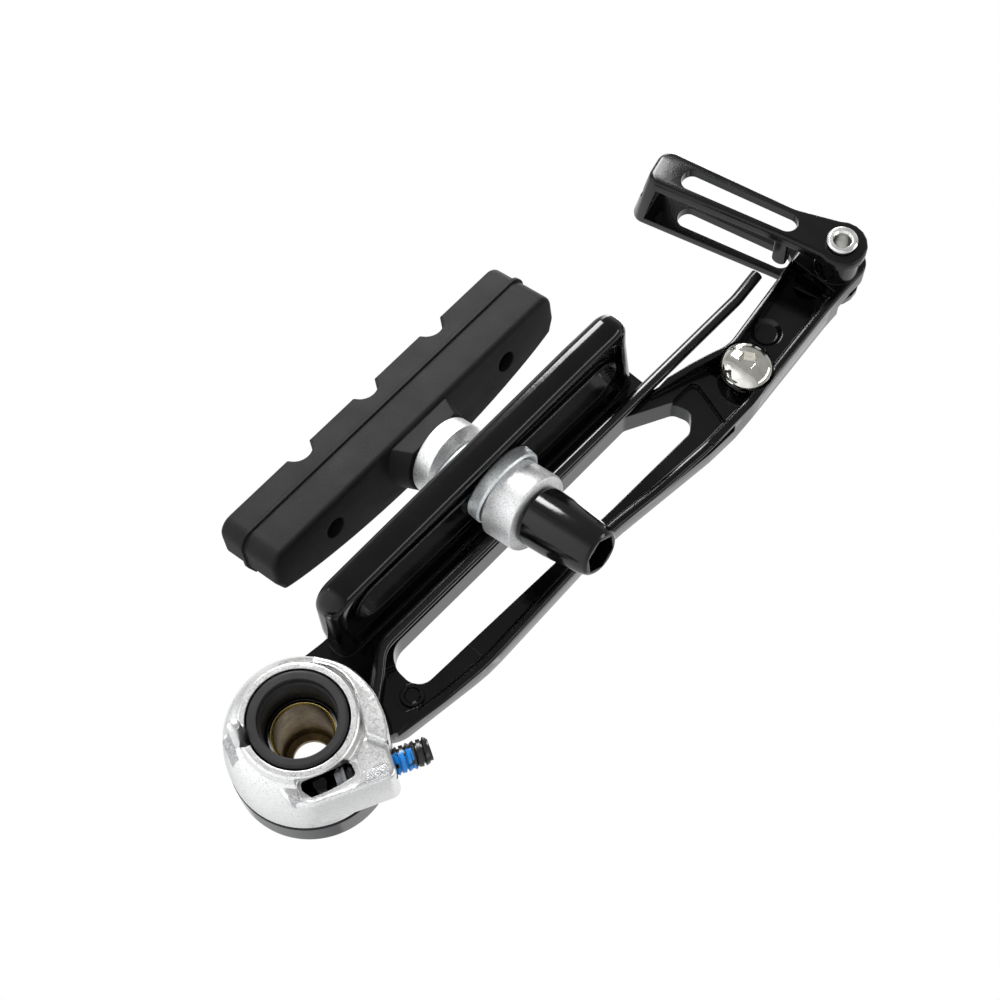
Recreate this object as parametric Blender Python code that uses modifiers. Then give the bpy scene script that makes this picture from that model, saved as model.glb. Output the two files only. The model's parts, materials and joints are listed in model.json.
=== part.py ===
"""One arm of a bicycle V-brake with its pad and its noodle link, in metres, +Z up.

The frame is the brake as it is fitted: the origin lies on the pivot axis at the seat on the
fork boss, +Z runs up the arm, +Y points to the fork and +X to the wheel.  Heights along the
pivot axis are given as y, and most outlines are drawn in the X-Z plane of the arm.
"""
import math

import bmesh
import bpy
from mathutils import Matrix, Vector

# Clearances
GAP = 0.0003                    # left between pieces that touch
RUN_GAP = 0.0003                # running gap of a turning or threaded piece

# Hub of the arm and the bush in it
HUB_RADIUS = 0.01138
HUB_FRONT_Y = -0.01916
HUB_BACK_Y = -0.0133
SPIGOT_RADIUS = 0.0064
BUSH_RADIUS = 0.0045
BUSH_BORE_RADIUS = 0.0041
BUSH_BACK_Y = -0.0066
BUSH_FRONT_Y = -0.0195

# Spring housing and its collar
HOUSING_RADIUS = 0.0113
HOUSING_WALL = 0.0013
HOUSING_FACE_Y = -0.0023
HOUSING_LIP_Y = -0.0003
HOUSING_BAND_Y = -0.0010
HOUSING_ROOF = 0.0013
COLLAR_RADIUS = 0.00679
COLLAR_BODY_RADIUS = 0.0065
COLLAR_MOUTH_RADIUS = 0.0055
COLLAR_BORE_RADIUS = 0.00515
LIP_WIDTH = 0.0010
COLLAR_FOOT_Y = -0.0065
PIN_RADIUS = 0.0009
PIN_TIP_Y = 0.0032
PIN_X = 0.0045
PIN_Z = -0.0068

# Tension screw: its axis lies at SCREW_OFFSET from the pivot and leans by SCREW_LEAN
SCREW_RADIUS = 0.00195
SCREW_Y = -0.0050
SCREW_OFFSET = 0.0086
SCREW_LEAN = math.radians(26.1)
SCREW_START = 0.0021
SCREW_LENGTH = 0.01315
SCREW_HEX = 0.0020
LUG_END = 0.0101
LUG_SIDE = 0.01125
LUG_FACE_Y = -0.0022
LUG_FRONT_Y = -0.0120

# Return spring
WIRE_RADIUS = 0.00095
COIL_RADIUS = 0.0082
COIL_PITCH = 0.00213
COIL_LEAVES = math.radians(143.1)
COIL_TURNS = 1.175
LEG_Y = -0.0116
LEG_FOOT = (0.0028, 0.0170)
LEG_BEND = (0.0030, 0.0928)
LEG_TIP = (0.0036, 0.0982)
SPRING_HOOK_Y = -0.0040

# Arm: a cast plate with a window, rims, a channel in its upper part and a tongue
WEB_BACK_Y = -0.0129
WEB_FRONT_Y = -0.0175
UPPER_FRONT_Y = -0.0155
RIM_BACK_Y = -0.0098
RIM_WIDTH = 0.0010
BEAD_EDGE = 0.0014
RECESS_DEPTH = 0.0010
POCKET_DEPTH = 0.00106
EDGE_ROUND = 0.0005
SLOPE_START_Z = 0.0660
SLOPE_END_Z = 0.0860
TONGUE_BACK_Y = -0.0053
TONGUE_FRONT_Y = -0.0134
TONGUE_RADIUS = 0.0033

# Slot wall that carries the pad
WALL_NUT_X = 0.0052
WALL_PAD_X = 0.0097
WALL_FIELD_X = 0.0067           # floor of the field round the slot
SEAT_X = 0.0060                 # crest of the bead the washer sits on
WALL_ROUND = 0.0010
SLOT_Y = -0.00475
SLOT_LOW_Z = 0.0208
SLOT_HIGH_Z = 0.0647
SLOT_RADIUS = 0.00385
BEAD_WIDTH = 0.0008

# Spring stop screw
STOP_X = -0.00597
STOP_Z = 0.08458
STOP_HEAD_RADIUS = 0.00395
STOP_HEAD_BACK_Y = -0.0078
STOP_HEAD_HEIGHT = 0.0028
STOP_HEX = 0.0025
STOP_SHANK_RADIUS = 0.00195

# Link and its rivet
RIVET_X = -0.0047
RIVET_Z = 0.1066
RIVET_RADIUS = 0.0018
RIVET_HEAD_RADIUS = 0.0023
RIVET_BORE_RADIUS = 0.0012
LINK_TILT = math.radians(14.8)
LINK_BACK_Y = -0.0032
LINK_PLATE = 0.0018
LINK_FRONT_Y = -0.0155
LINK_LENGTH = 0.0308
LINK_SLANT = 0.16               # the end wall leans outwards, away from the bush
LINK_HALF_WIDTH = 0.00275
LINK_MIDDLE = -0.00055
LINK_EYE_RADIUS = 0.0039
LINK_SLOT_NEAR = 0.0070
LINK_SLOT_FAR = 0.0260
LINK_SLOT_RADIUS = 0.00165
LINK_HOLE_RADIUS = 0.0020
LINK_ROOM_LOW = -0.0043

# Pad post: it crosses the wall at POST and is tilted by the dome washers
POST = (0.00598, -0.00441, 0.04324)
TOE = math.radians(11.2)
RISE = math.radians(4.5)
LEAN = math.radians(5.2)
STUD_RADIUS = 0.0030
WASHER_RADIUS = 0.0060
WASHER_HOLE_RADIUS = 0.0033
CUP_RADIUS = 0.0062
CUP_HOLE_RADIUS = 0.0050
SEAT_RADIUS = 0.0080            # sphere of the dome washers
SEAT_HEIGHT = 0.00806           # from the flat of a cup washer to the sphere's centre
NUT_DOME_BACK = 0.0082          # from the post's zero to the back of the nut's dome washer
PAD_DOME_BACK = 0.0100
NUT_LENGTH = 0.0111
NUT_BASE_RADIUS = 0.00455
NUT_TIP_RADIUS = 0.00375
NUT_HEX = 0.0050
NUT_HEX_DEPTH = 0.0050

# Pad: its places are counted from the post's axis, across it and along the pad
PAD_BOSS_HEIGHT = 0.0030
PAD_THICKNESS = 0.0108
PAD_LOW = -0.0302
PAD_HIGH = 0.0296
PAD_NEAR = 0.0050
PAD_FAR = -0.0066
PAD_END_FAR = -0.0028
PAD_RIDGE = 0.0003
PAD_RIDGE_PLACE = 0.0062
PAD_NOTCH_RADIUS = 0.0024
PAD_NOTCH_PLACES = (-0.0138, 0.0, 0.0144)
PIN_HOLE_RADIUS = 0.0017
PIN_HOLE_PLACES = (-0.0185, 0.0185)
INSERT_HALF_LENGTH = 0.0235
INSERT_HALF_WIDTH = 0.0032
INSERT_THICKNESS = 0.0016
INSERT_DEPTH = 0.0030

AXIS_Y = Matrix.Rotation(-math.pi / 2, 4, "X")      # a turned shape's height becomes y
TINY = 0.0001


def start():
    """Empty the scene and make one collection for the parts and one for the cutters."""
    for old in list(bpy.data.objects):
        bpy.data.objects.remove(old)
    parts = bpy.data.collections.new("v_brake")
    tools = bpy.data.collections.new("v_brake_cutters")
    bpy.context.scene.collection.children.link(parts)
    bpy.context.scene.collection.children.link(tools)
    return parts, tools


PARTS, TOOLS = start()


def arc_path(points, radii, closed, step=math.radians(18)):
    """A path through the points, with an arc of the given radius at each corner."""
    path = []
    last = len(points) - 1
    for index, here in enumerate(points):
        if not closed and index in (0, last):
            path.append(here)
            continue
        back = points[index - 1] - here
        ahead = points[(index + 1) % len(points)] - here
        turn = math.pi - back.angle(ahead)
        if radii[index] == 0 or turn < 0.02:
            path.append(here)
            continue
        slope = math.tan(turn / 2)
        reach = min(radii[index] * slope, 0.49 * back.length, 0.49 * ahead.length)
        radius = reach / slope
        inward = (back.normalized() + ahead.normalized()).normalized()
        centre = here + inward * (radius / math.cos(turn / 2))
        spoke = here + back.normalized() * reach - centre
        axis = ahead.cross(back).normalized()
        count = max(2, round(turn / step))
        for part in range(count + 1):
            path.append(centre + Matrix.Rotation(turn * part / count, 3, axis) @ spoke)
    return path


def outline(corners, step=math.radians(18)):
    """A closed flat outline from corners (x, y, radius)."""
    points = [Vector((x, y, 0)) for x, y, radius in corners]
    return arc_path(points, [radius for x, y, radius in corners], True, step)


def stadium(start_point, end_point, radius, steps=9):
    """A closed outline with two straight sides and two round ends."""
    first = Vector((*start_point, 0))
    second = Vector((*end_point, 0))
    along = (second - first).normalized()
    heading = math.atan2(along.y, along.x)
    points = []
    for middle, begin in ((second, heading - math.pi / 2), (first, heading + math.pi / 2)):
        for part in range(steps + 1):
            angle = begin + math.pi * part / steps
            points.append(middle + radius * Vector((math.cos(angle), math.sin(angle), 0)))
    return points


def circle(x, y, radius, steps=32):
    """A round outline."""
    turns = [math.tau * part / steps for part in range(steps)]
    return [Vector((x + radius * math.cos(a), y + radius * math.sin(a), 0)) for a in turns]


def arm_plane(back_y, front_y, place=None):
    """Frame for an outline in (x, z): its thickness lies between two heights y."""
    middle = Matrix.Translation((0, (back_y + front_y) / 2, 0))
    upright = Matrix.Rotation(math.pi / 2, 4, "X")
    return (place or Matrix.Identity(4)) @ middle @ upright


def wall_plane(low_x, high_x):
    """Frame for an outline in (y, z): its thickness lies between two places x."""
    columns = Matrix(((0, 0, 1), (1, 0, 0), (0, 1, 0))).to_4x4()
    return Matrix.Translation(((low_x + high_x) / 2, 0, 0)) @ columns


def link_place():
    """Frame of the link: the origin on the rivet's axis, +X along the link."""
    return Matrix.Translation((RIVET_X, 0, RIVET_Z)) @ Matrix.Rotation(LINK_TILT, 4, "Y")


def post_place():
    """Frame of the pad's post: the origin where it crosses the wall, +X to the pad."""
    post = Vector((math.cos(TOE) * math.cos(RISE), -math.sin(TOE) * math.cos(RISE), -math.sin(RISE)))
    up = Vector((0, -math.sin(LEAN), math.cos(LEAN)))
    up = (up - up.dot(post) * post).normalized()
    side = up.cross(post)
    columns = Matrix((post, side, up)).transposed().to_4x4()
    return Matrix.Translation(POST) @ columns


POST_PLACE = post_place()
ALONG_X = Matrix.Rotation(math.pi / 2, 4, "Y")      # a turned shape's height becomes x


def finish(name, mesh, place, collection=None):
    """Link an object that holds the mesh; a cutter is kept out of the parts."""
    made = bpy.data.objects.new(name, mesh)
    made.matrix_world = place
    (collection or PARTS).objects.link(made)
    if collection is TOOLS:
        made.hide_render = True
        made.display_type = "WIRE"
    return made


def curve_to_mesh(curve_object, collection):
    """Turn a curve into a closed mesh and remove the curve."""
    bpy.context.view_layer.update()
    solved = curve_object.evaluated_get(bpy.context.evaluated_depsgraph_get())
    mesh = bpy.data.meshes.new_from_object(solved)
    name = curve_object.name
    place = curve_object.matrix_world.copy()
    bpy.data.objects.remove(curve_object)
    shell = bmesh.new()
    shell.from_mesh(mesh)
    bmesh.ops.remove_doubles(shell, verts=shell.verts, dist=1e-6)
    bmesh.ops.recalc_face_normals(shell, faces=shell.faces)
    shell.to_mesh(mesh)
    shell.free()
    mesh.name = name
    return finish(name, mesh, place, collection)


def plate(name, outlines, thickness, place, rounding=0.0, collection=None, steps=1):
    """A flat piece with the outlines, the first one outside, and rounded edges."""
    curve = bpy.data.curves.new(name, "CURVE")
    curve.dimensions = "2D"
    curve.fill_mode = "BOTH"
    curve.extrude = thickness / 2 - rounding
    curve.bevel_depth = rounding
    curve.bevel_resolution = steps
    curve.offset = -rounding
    for points in outlines:
        spline = curve.splines.new("POLY")
        spline.points.add(len(points) - 1)
        for spot, point in zip(spline.points, points):
            spot.co = (point.x, point.y, 0, 1)
        spline.use_cyclic_u = True
    drawn = bpy.data.objects.new(name, curve)
    drawn.matrix_world = place
    (collection or PARTS).objects.link(drawn)
    return curve_to_mesh(drawn, collection)


def wire(name, points, radius, collection=None):
    """A round wire along the points, with closed ends."""
    curve = bpy.data.curves.new(name, "CURVE")
    curve.dimensions = "3D"
    curve.bevel_depth = radius
    curve.bevel_resolution = 2
    curve.use_fill_caps = True
    spline = curve.splines.new("POLY")
    spline.points.add(len(points) - 1)
    for spot, point in zip(spline.points, points):
        spot.co = (*point, 1)
    drawn = bpy.data.objects.new(name, curve)
    (collection or PARTS).objects.link(drawn)
    return curve_to_mesh(drawn, collection)


def turned(name, profile, place, steps=48, closed=False, collection=None):
    """A turned piece: its profile (radius, height) runs down the outer side."""
    mesh = bpy.data.meshes.new(name)
    edges = [(spot, spot + 1) for spot in range(len(profile) - 1)]
    if closed:
        edges.append((len(profile) - 1, 0))
    mesh.from_pydata([(radius, 0, height) for radius, height in profile], edges, [])
    made = finish(name, mesh, place, collection)
    screw = made.modifiers.new("turned", "SCREW")
    screw.axis = "Z"
    screw.steps = steps
    screw.render_steps = steps
    screw.use_merge_vertices = True
    screw.merge_threshold = 1e-6
    return made


def rod(name, radius, low, high, place, steps=24, collection=TOOLS):
    """A plain turned rod between two heights, used as a cutter or joined to a piece."""
    profile = [(0, high), (radius, high), (radius, low), (0, low)]
    return turned(name, profile, place, steps, collection=collection)


def box(name, low, high, place=None):
    """A cutter with square corners between two points."""
    mesh = bpy.data.meshes.new(name)
    shape = bmesh.new()
    bmesh.ops.create_cube(shape, size=1.0)
    size = [b - a for a, b in zip(low, high)]
    middle = [(a + b) / 2 for a, b in zip(low, high)]
    bmesh.ops.scale(shape, vec=size, verts=shape.verts)
    bmesh.ops.translate(shape, vec=middle, verts=shape.verts)
    shape.to_mesh(mesh)
    shape.free()
    return finish(name, mesh, place or Matrix.Identity(4), TOOLS)


def hexagon(width):
    """A hexagon outline by its width across flats."""
    corner = width / math.sqrt(3)
    turns = [math.pi / 6 + math.pi / 3 * side for side in range(6)]
    return [Vector((corner * math.cos(a), corner * math.sin(a), 0)) for a in turns]


def boolean(piece, tool, operation):
    """Cut the tool from the piece, or join it to the piece."""
    change = piece.modifiers.new(tool.name, "BOOLEAN")
    change.operation = operation
    change.object = tool


def cut(piece, *tools):
    for tool in tools:
        boolean(piece, tool, "DIFFERENCE")


def join(piece, *tools):
    for tool in tools:
        boolean(piece, tool, "UNION")


def paint(piece, colour, roughness, metallic):
    """Give the piece its own material."""
    material = bpy.data.materials.new(piece.name)
    material.use_nodes = True
    shader = material.node_tree.nodes["Principled BSDF"]
    shader.inputs["Base Color"].default_value = (*colour, 1)
    shader.inputs["Roughness"].default_value = roughness
    shader.inputs["Metallic"].default_value = metallic
    piece.data.materials.clear()
    piece.data.materials.append(material)
    return piece


BLACK = (0.008, 0.008, 0.009)
RUBBER = (0.035, 0.035, 0.037)
ZINC = (0.72, 0.73, 0.75)

ALONG_SCREW = Vector((-math.sin(SCREW_LEAN), 0, math.cos(SCREW_LEAN)))
BESIDE_SCREW = Vector((-math.cos(SCREW_LEAN), 0, -math.sin(SCREW_LEAN)))


def beside(along, aside):
    """Point (x, z) given along the tension screw and aside from the pivot."""
    spot = ALONG_SCREW * along + BESIDE_SCREW * aside
    return spot.x, spot.z


def screw_place():
    """Frame of the tension screw: +Z along the screw, from the foot of the pivot's normal."""
    foot = BESIDE_SCREW * SCREW_OFFSET + Vector((0, SCREW_Y, 0))
    return Matrix.Translation(foot) @ Matrix.Rotation(-SCREW_LEAN, 4, "Y")


def polar(radius, degrees):
    """Point (x, z) at an angle from +X towards +Z."""
    angle = math.radians(degrees)
    return radius * math.cos(angle), radius * math.sin(angle)


def sector(inner, outer, start_degrees, end_degrees, steps=12):
    """A ring sector as an outline in (x, z)."""
    span = [start_degrees + (end_degrees - start_degrees) * part / steps for part in range(steps + 1)]
    rim = [Vector((*polar(outer, angle), 0)) for angle in span]
    return rim + [Vector((*polar(inner, angle), 0)) for angle in reversed(span)]


def make_housing():
    """Cast cup over the coil: lip, roof band, screw lug, window and anchor pin."""
    bottom = HUB_BACK_Y + GAP
    lip_inner = COLLAR_RADIUS + GAP
    lip_outer = lip_inner + LIP_WIDTH
    shoulder = 0.0010
    groove = 0.0004
    outer = [
        (0, HOUSING_LIP_Y),
        (lip_outer, HOUSING_LIP_Y),
        (lip_outer + groove, HOUSING_FACE_Y),
        (HOUSING_RADIUS - shoulder, HOUSING_FACE_Y),
        (HOUSING_RADIUS - shoulder * 0.3, HOUSING_FACE_Y - shoulder * 0.3),
        (HOUSING_RADIUS, HOUSING_FACE_Y - shoulder),
        (HOUSING_RADIUS, bottom),
        (0, bottom),
    ]
    housing = turned("spring_housing", outer, AXIS_Y, 48)

    lug_side = LUG_SIDE
    lug_inner = 0.0048
    lug_back = LUG_FACE_Y
    lug_front = LUG_FRONT_Y
    corners = [
        (*beside(-0.002, lug_side), 0.0),
        (*beside(LUG_END, lug_side), 0.0016),
        (*beside(LUG_END, lug_inner), 0.0005),
        (*beside(0.0, lug_inner), 0.0),
    ]
    lug = plate("housing_lug", [outline(corners)], lug_back - lug_front,
                arm_plane(lug_back, lug_front), EDGE_ROUND, TOOLS)
    band_back = HOUSING_BAND_Y
    band_front = HOUSING_FACE_Y - 0.0010
    band = plate("housing_band", [sector(0.0095, HOUSING_RADIUS - 0.0002, 58, 152, 16)],
                 band_back - band_front, arm_plane(band_back, band_front), 0.0003, TOOLS)
    join(housing, lug, band)

    roof = HOUSING_FACE_Y - HOUSING_ROOF
    cavity_radius = HOUSING_RADIUS - HOUSING_WALL
    cavity = rod("housing_cavity", cavity_radius, bottom - TINY, roof, AXIS_Y, 48)
    bore = rod("housing_bore", lip_inner, bottom - TINY, HOUSING_LIP_Y + TINY, AXIS_Y, 48)
    thread = rod("housing_thread", SCREW_RADIUS + RUN_GAP, -0.0028, LUG_END + 0.001, screw_place())
    frame_corners = [
        (*beside(-0.0033, 0.0078), 0.0008),
        (*beside(0.0060, 0.0078), 0.0008),
        (*beside(0.0060, 0.0110), 0.0011),
        (*beside(-0.0033, 0.0110), 0.0011),
    ]
    frame_depth = 0.0005
    frame = plate("housing_frame", [outline(frame_corners)], 2 * frame_depth,
                  arm_plane(HOUSING_FACE_Y + frame_depth, HOUSING_FACE_Y - frame_depth), 0, TOOLS)
    window_corners = [
        (*beside(-0.0024, 0.0077), 0.0003),
        (*beside(0.0049, 0.0077), 0.0003),
        (*beside(0.0049, 0.0101), 0.0003),
        (*beside(-0.0024, 0.0101), 0.0003),
    ]
    window_back = HOUSING_FACE_Y + 0.0004
    window_front = roof - 0.0005
    window = plate("housing_window", [outline(window_corners)], window_back - window_front,
                   arm_plane(window_back, window_front), 0, TOOLS)
    notch_back = LEG_Y + WIRE_RADIUS + 0.0005
    notch = plate("housing_leg_notch", [sector(0.0092, 0.0150, 62, 128, 8)], notch_back - bottom + TINY,
                  arm_plane(notch_back, bottom - TINY), 0, TOOLS)
    pocket_floor = roof + 0.0006
    pocket = rod("housing_pin_pocket", PIN_RADIUS + 0.0009, -PIN_TIP_Y, -pocket_floor,
                 Matrix.Translation((PIN_X, 0, PIN_Z)) @ Matrix.Rotation(math.pi / 2, 4, "X"), 20)
    cut(housing, cavity, bore, thread, frame, window, notch, pocket)

    pin_profile = [
        (0, PIN_TIP_Y),
        (PIN_RADIUS - 0.0003, PIN_TIP_Y),
        (PIN_RADIUS, PIN_TIP_Y - 0.0003),
        (PIN_RADIUS, roof + 0.0003),
        (0, roof + 0.0003),
    ]
    pin = turned("housing_pin", pin_profile, Matrix.Translation((PIN_X, 0, PIN_Z)) @ AXIS_Y, 16,
                 collection=TOOLS)
    join(housing, pin)
    return paint(housing, (0.80, 0.80, 0.80), 0.35, 1.0)


def make_collar():
    """Plastic ring in the housing's bore that seats on the fork boss."""
    flange = -0.0008
    step = -0.0013
    profile = [
        (COLLAR_MOUTH_RADIUS, 0),
        (COLLAR_RADIUS - 0.0003, 0),
        (COLLAR_RADIUS, -0.0003),
        (COLLAR_RADIUS, flange),
        (COLLAR_BODY_RADIUS, flange - 0.0003),
        (COLLAR_BODY_RADIUS, COLLAR_FOOT_Y),
        (COLLAR_BORE_RADIUS, COLLAR_FOOT_Y),
        (COLLAR_BORE_RADIUS, step - 0.0003),
        (COLLAR_MOUTH_RADIUS, step),
    ]
    collar = turned("hub_collar", profile, AXIS_Y, 40, closed=True)
    return paint(collar, (0.045, 0.045, 0.047), 0.6, 0.0)


def make_tension_screw():
    """Grub screw with a hex socket in its outer end and a cup tip."""
    tip = SCREW_START
    end = SCREW_START + SCREW_LENGTH
    chamfer = 0.0004
    profile = [
        (0, end),
        (SCREW_RADIUS - chamfer, end),
        (SCREW_RADIUS, end - chamfer),
        (SCREW_RADIUS, tip + chamfer),
        (SCREW_RADIUS - 0.0007, tip),
        (SCREW_RADIUS - 0.0011, tip),
        (0, tip + 0.0005),
    ]
    screw = turned("tension_screw", profile, screw_place(), 24)
    socket_depth = 0.0022
    socket_place = screw_place() @ Matrix.Translation((0, 0, end))
    cut(screw, plate("tension_socket", [hexagon(SCREW_HEX)], 2 * socket_depth, socket_place, 0, TOOLS))
    return paint(screw, (0.03, 0.03, 0.032), 0.4, 0.9)


def make_spring():
    """Coil in the housing with a long leg up the arm and a hook at the screw's tip."""
    points = []
    steps = 30
    hook = COIL_LEAVES + COIL_TURNS * math.tau
    for part in range(steps + 1):
        angle = hook + (COIL_LEAVES - hook) * part / steps
        height = LEG_Y + COIL_PITCH * COIL_TURNS * (1 - part / steps)
        points.append(Vector((COIL_RADIUS * math.cos(angle), height, COIL_RADIUS * math.sin(angle))))
    leaves = points[-1]
    bend = points[0]
    hook_path = arc_path([Vector((bend.x, SPRING_HOOK_Y, bend.z)), bend, points[2]],
                         [0, 0.0012, 0], False)
    heading = Vector((math.sin(COIL_LEAVES), 0, -math.cos(COIL_LEAVES)))
    rise = leaves + heading * 0.0108
    leg_corners = [leaves, rise]
    leg_corners += [Vector((x, LEG_Y, z)) for x, z in (LEG_FOOT, LEG_BEND, LEG_TIP)]
    leg = arc_path(leg_corners, [0, 0.010, 0.005, 0.010, 0], False, math.radians(9))
    spring = wire("return_spring", hook_path[:-1] + points[2:-1] + leg, WIRE_RADIUS)
    return paint(spring, (0.02, 0.02, 0.022), 0.25, 0.9)


def upper_edge(inset=0.0):
    """Wheel side of the upper arm, from the head to the top, as corners (x, z, radius)."""
    return [
        (0.0024 - inset, 0.0734 - inset, 0.0006),
        (0.0006 - inset, 0.0795, 0.010),
        (-0.0016 - inset, 0.0855, 0.006),
        (0.00135 - inset, 0.1052, 0.0),
    ]


def outer_edge(inset=0.0):
    """Outer side of the arm from the top down, as corners (x, z, radius)."""
    return [
        (-0.0084 + inset, 0.1050, 0.01),
        (-0.0087 + inset, 0.1000, 0.01),
        (-0.0107 + inset, 0.0810, 0.01),
        (-0.0105 + inset, 0.0720, 0.01),
        (-0.0086 + inset, 0.0527, 0.03),
        (-0.0097 + inset, 0.0258, 0.03),
    ]


def arm_outline():
    """Whole arm seen along the pivot axis, from the hub up the wheel side and back down."""
    wheel_side = WALL_PAD_X - 0.00005
    corners = [
        (-0.0060, -0.0010, 0.0),
        (0.0100, -0.0010, 0.0),
        (0.0108, 0.0020, 0.0),
        (wheel_side, 0.0120, 0.010),
        (wheel_side, 0.0733, 0.0006),
        *upper_edge(),
        (0.0022, 0.1110, 0.0050),
        (-0.0082, 0.1115, 0.0048),
        *outer_edge(),
        (-0.0078, 0.0105, 0.01),
        (-0.0065, 0.0085, 0.0),
    ]
    return outline(corners, math.radians(12))


def arm_tools_across(name, corners, low_x, high_x):
    """A cutter whose outline (y, z) runs across the arm from low_x to high_x."""
    return plate(name, [outline(corners)], high_x - low_x, wall_plane(low_x, high_x), 0, TOOLS)


def arm_tools_down(name, outlines, back_y, front_y):
    """A cutter whose outline (x, z) runs along the pivot axis."""
    return plate(name, outlines, back_y - front_y, arm_plane(back_y, front_y), 0, TOOLS)


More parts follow.
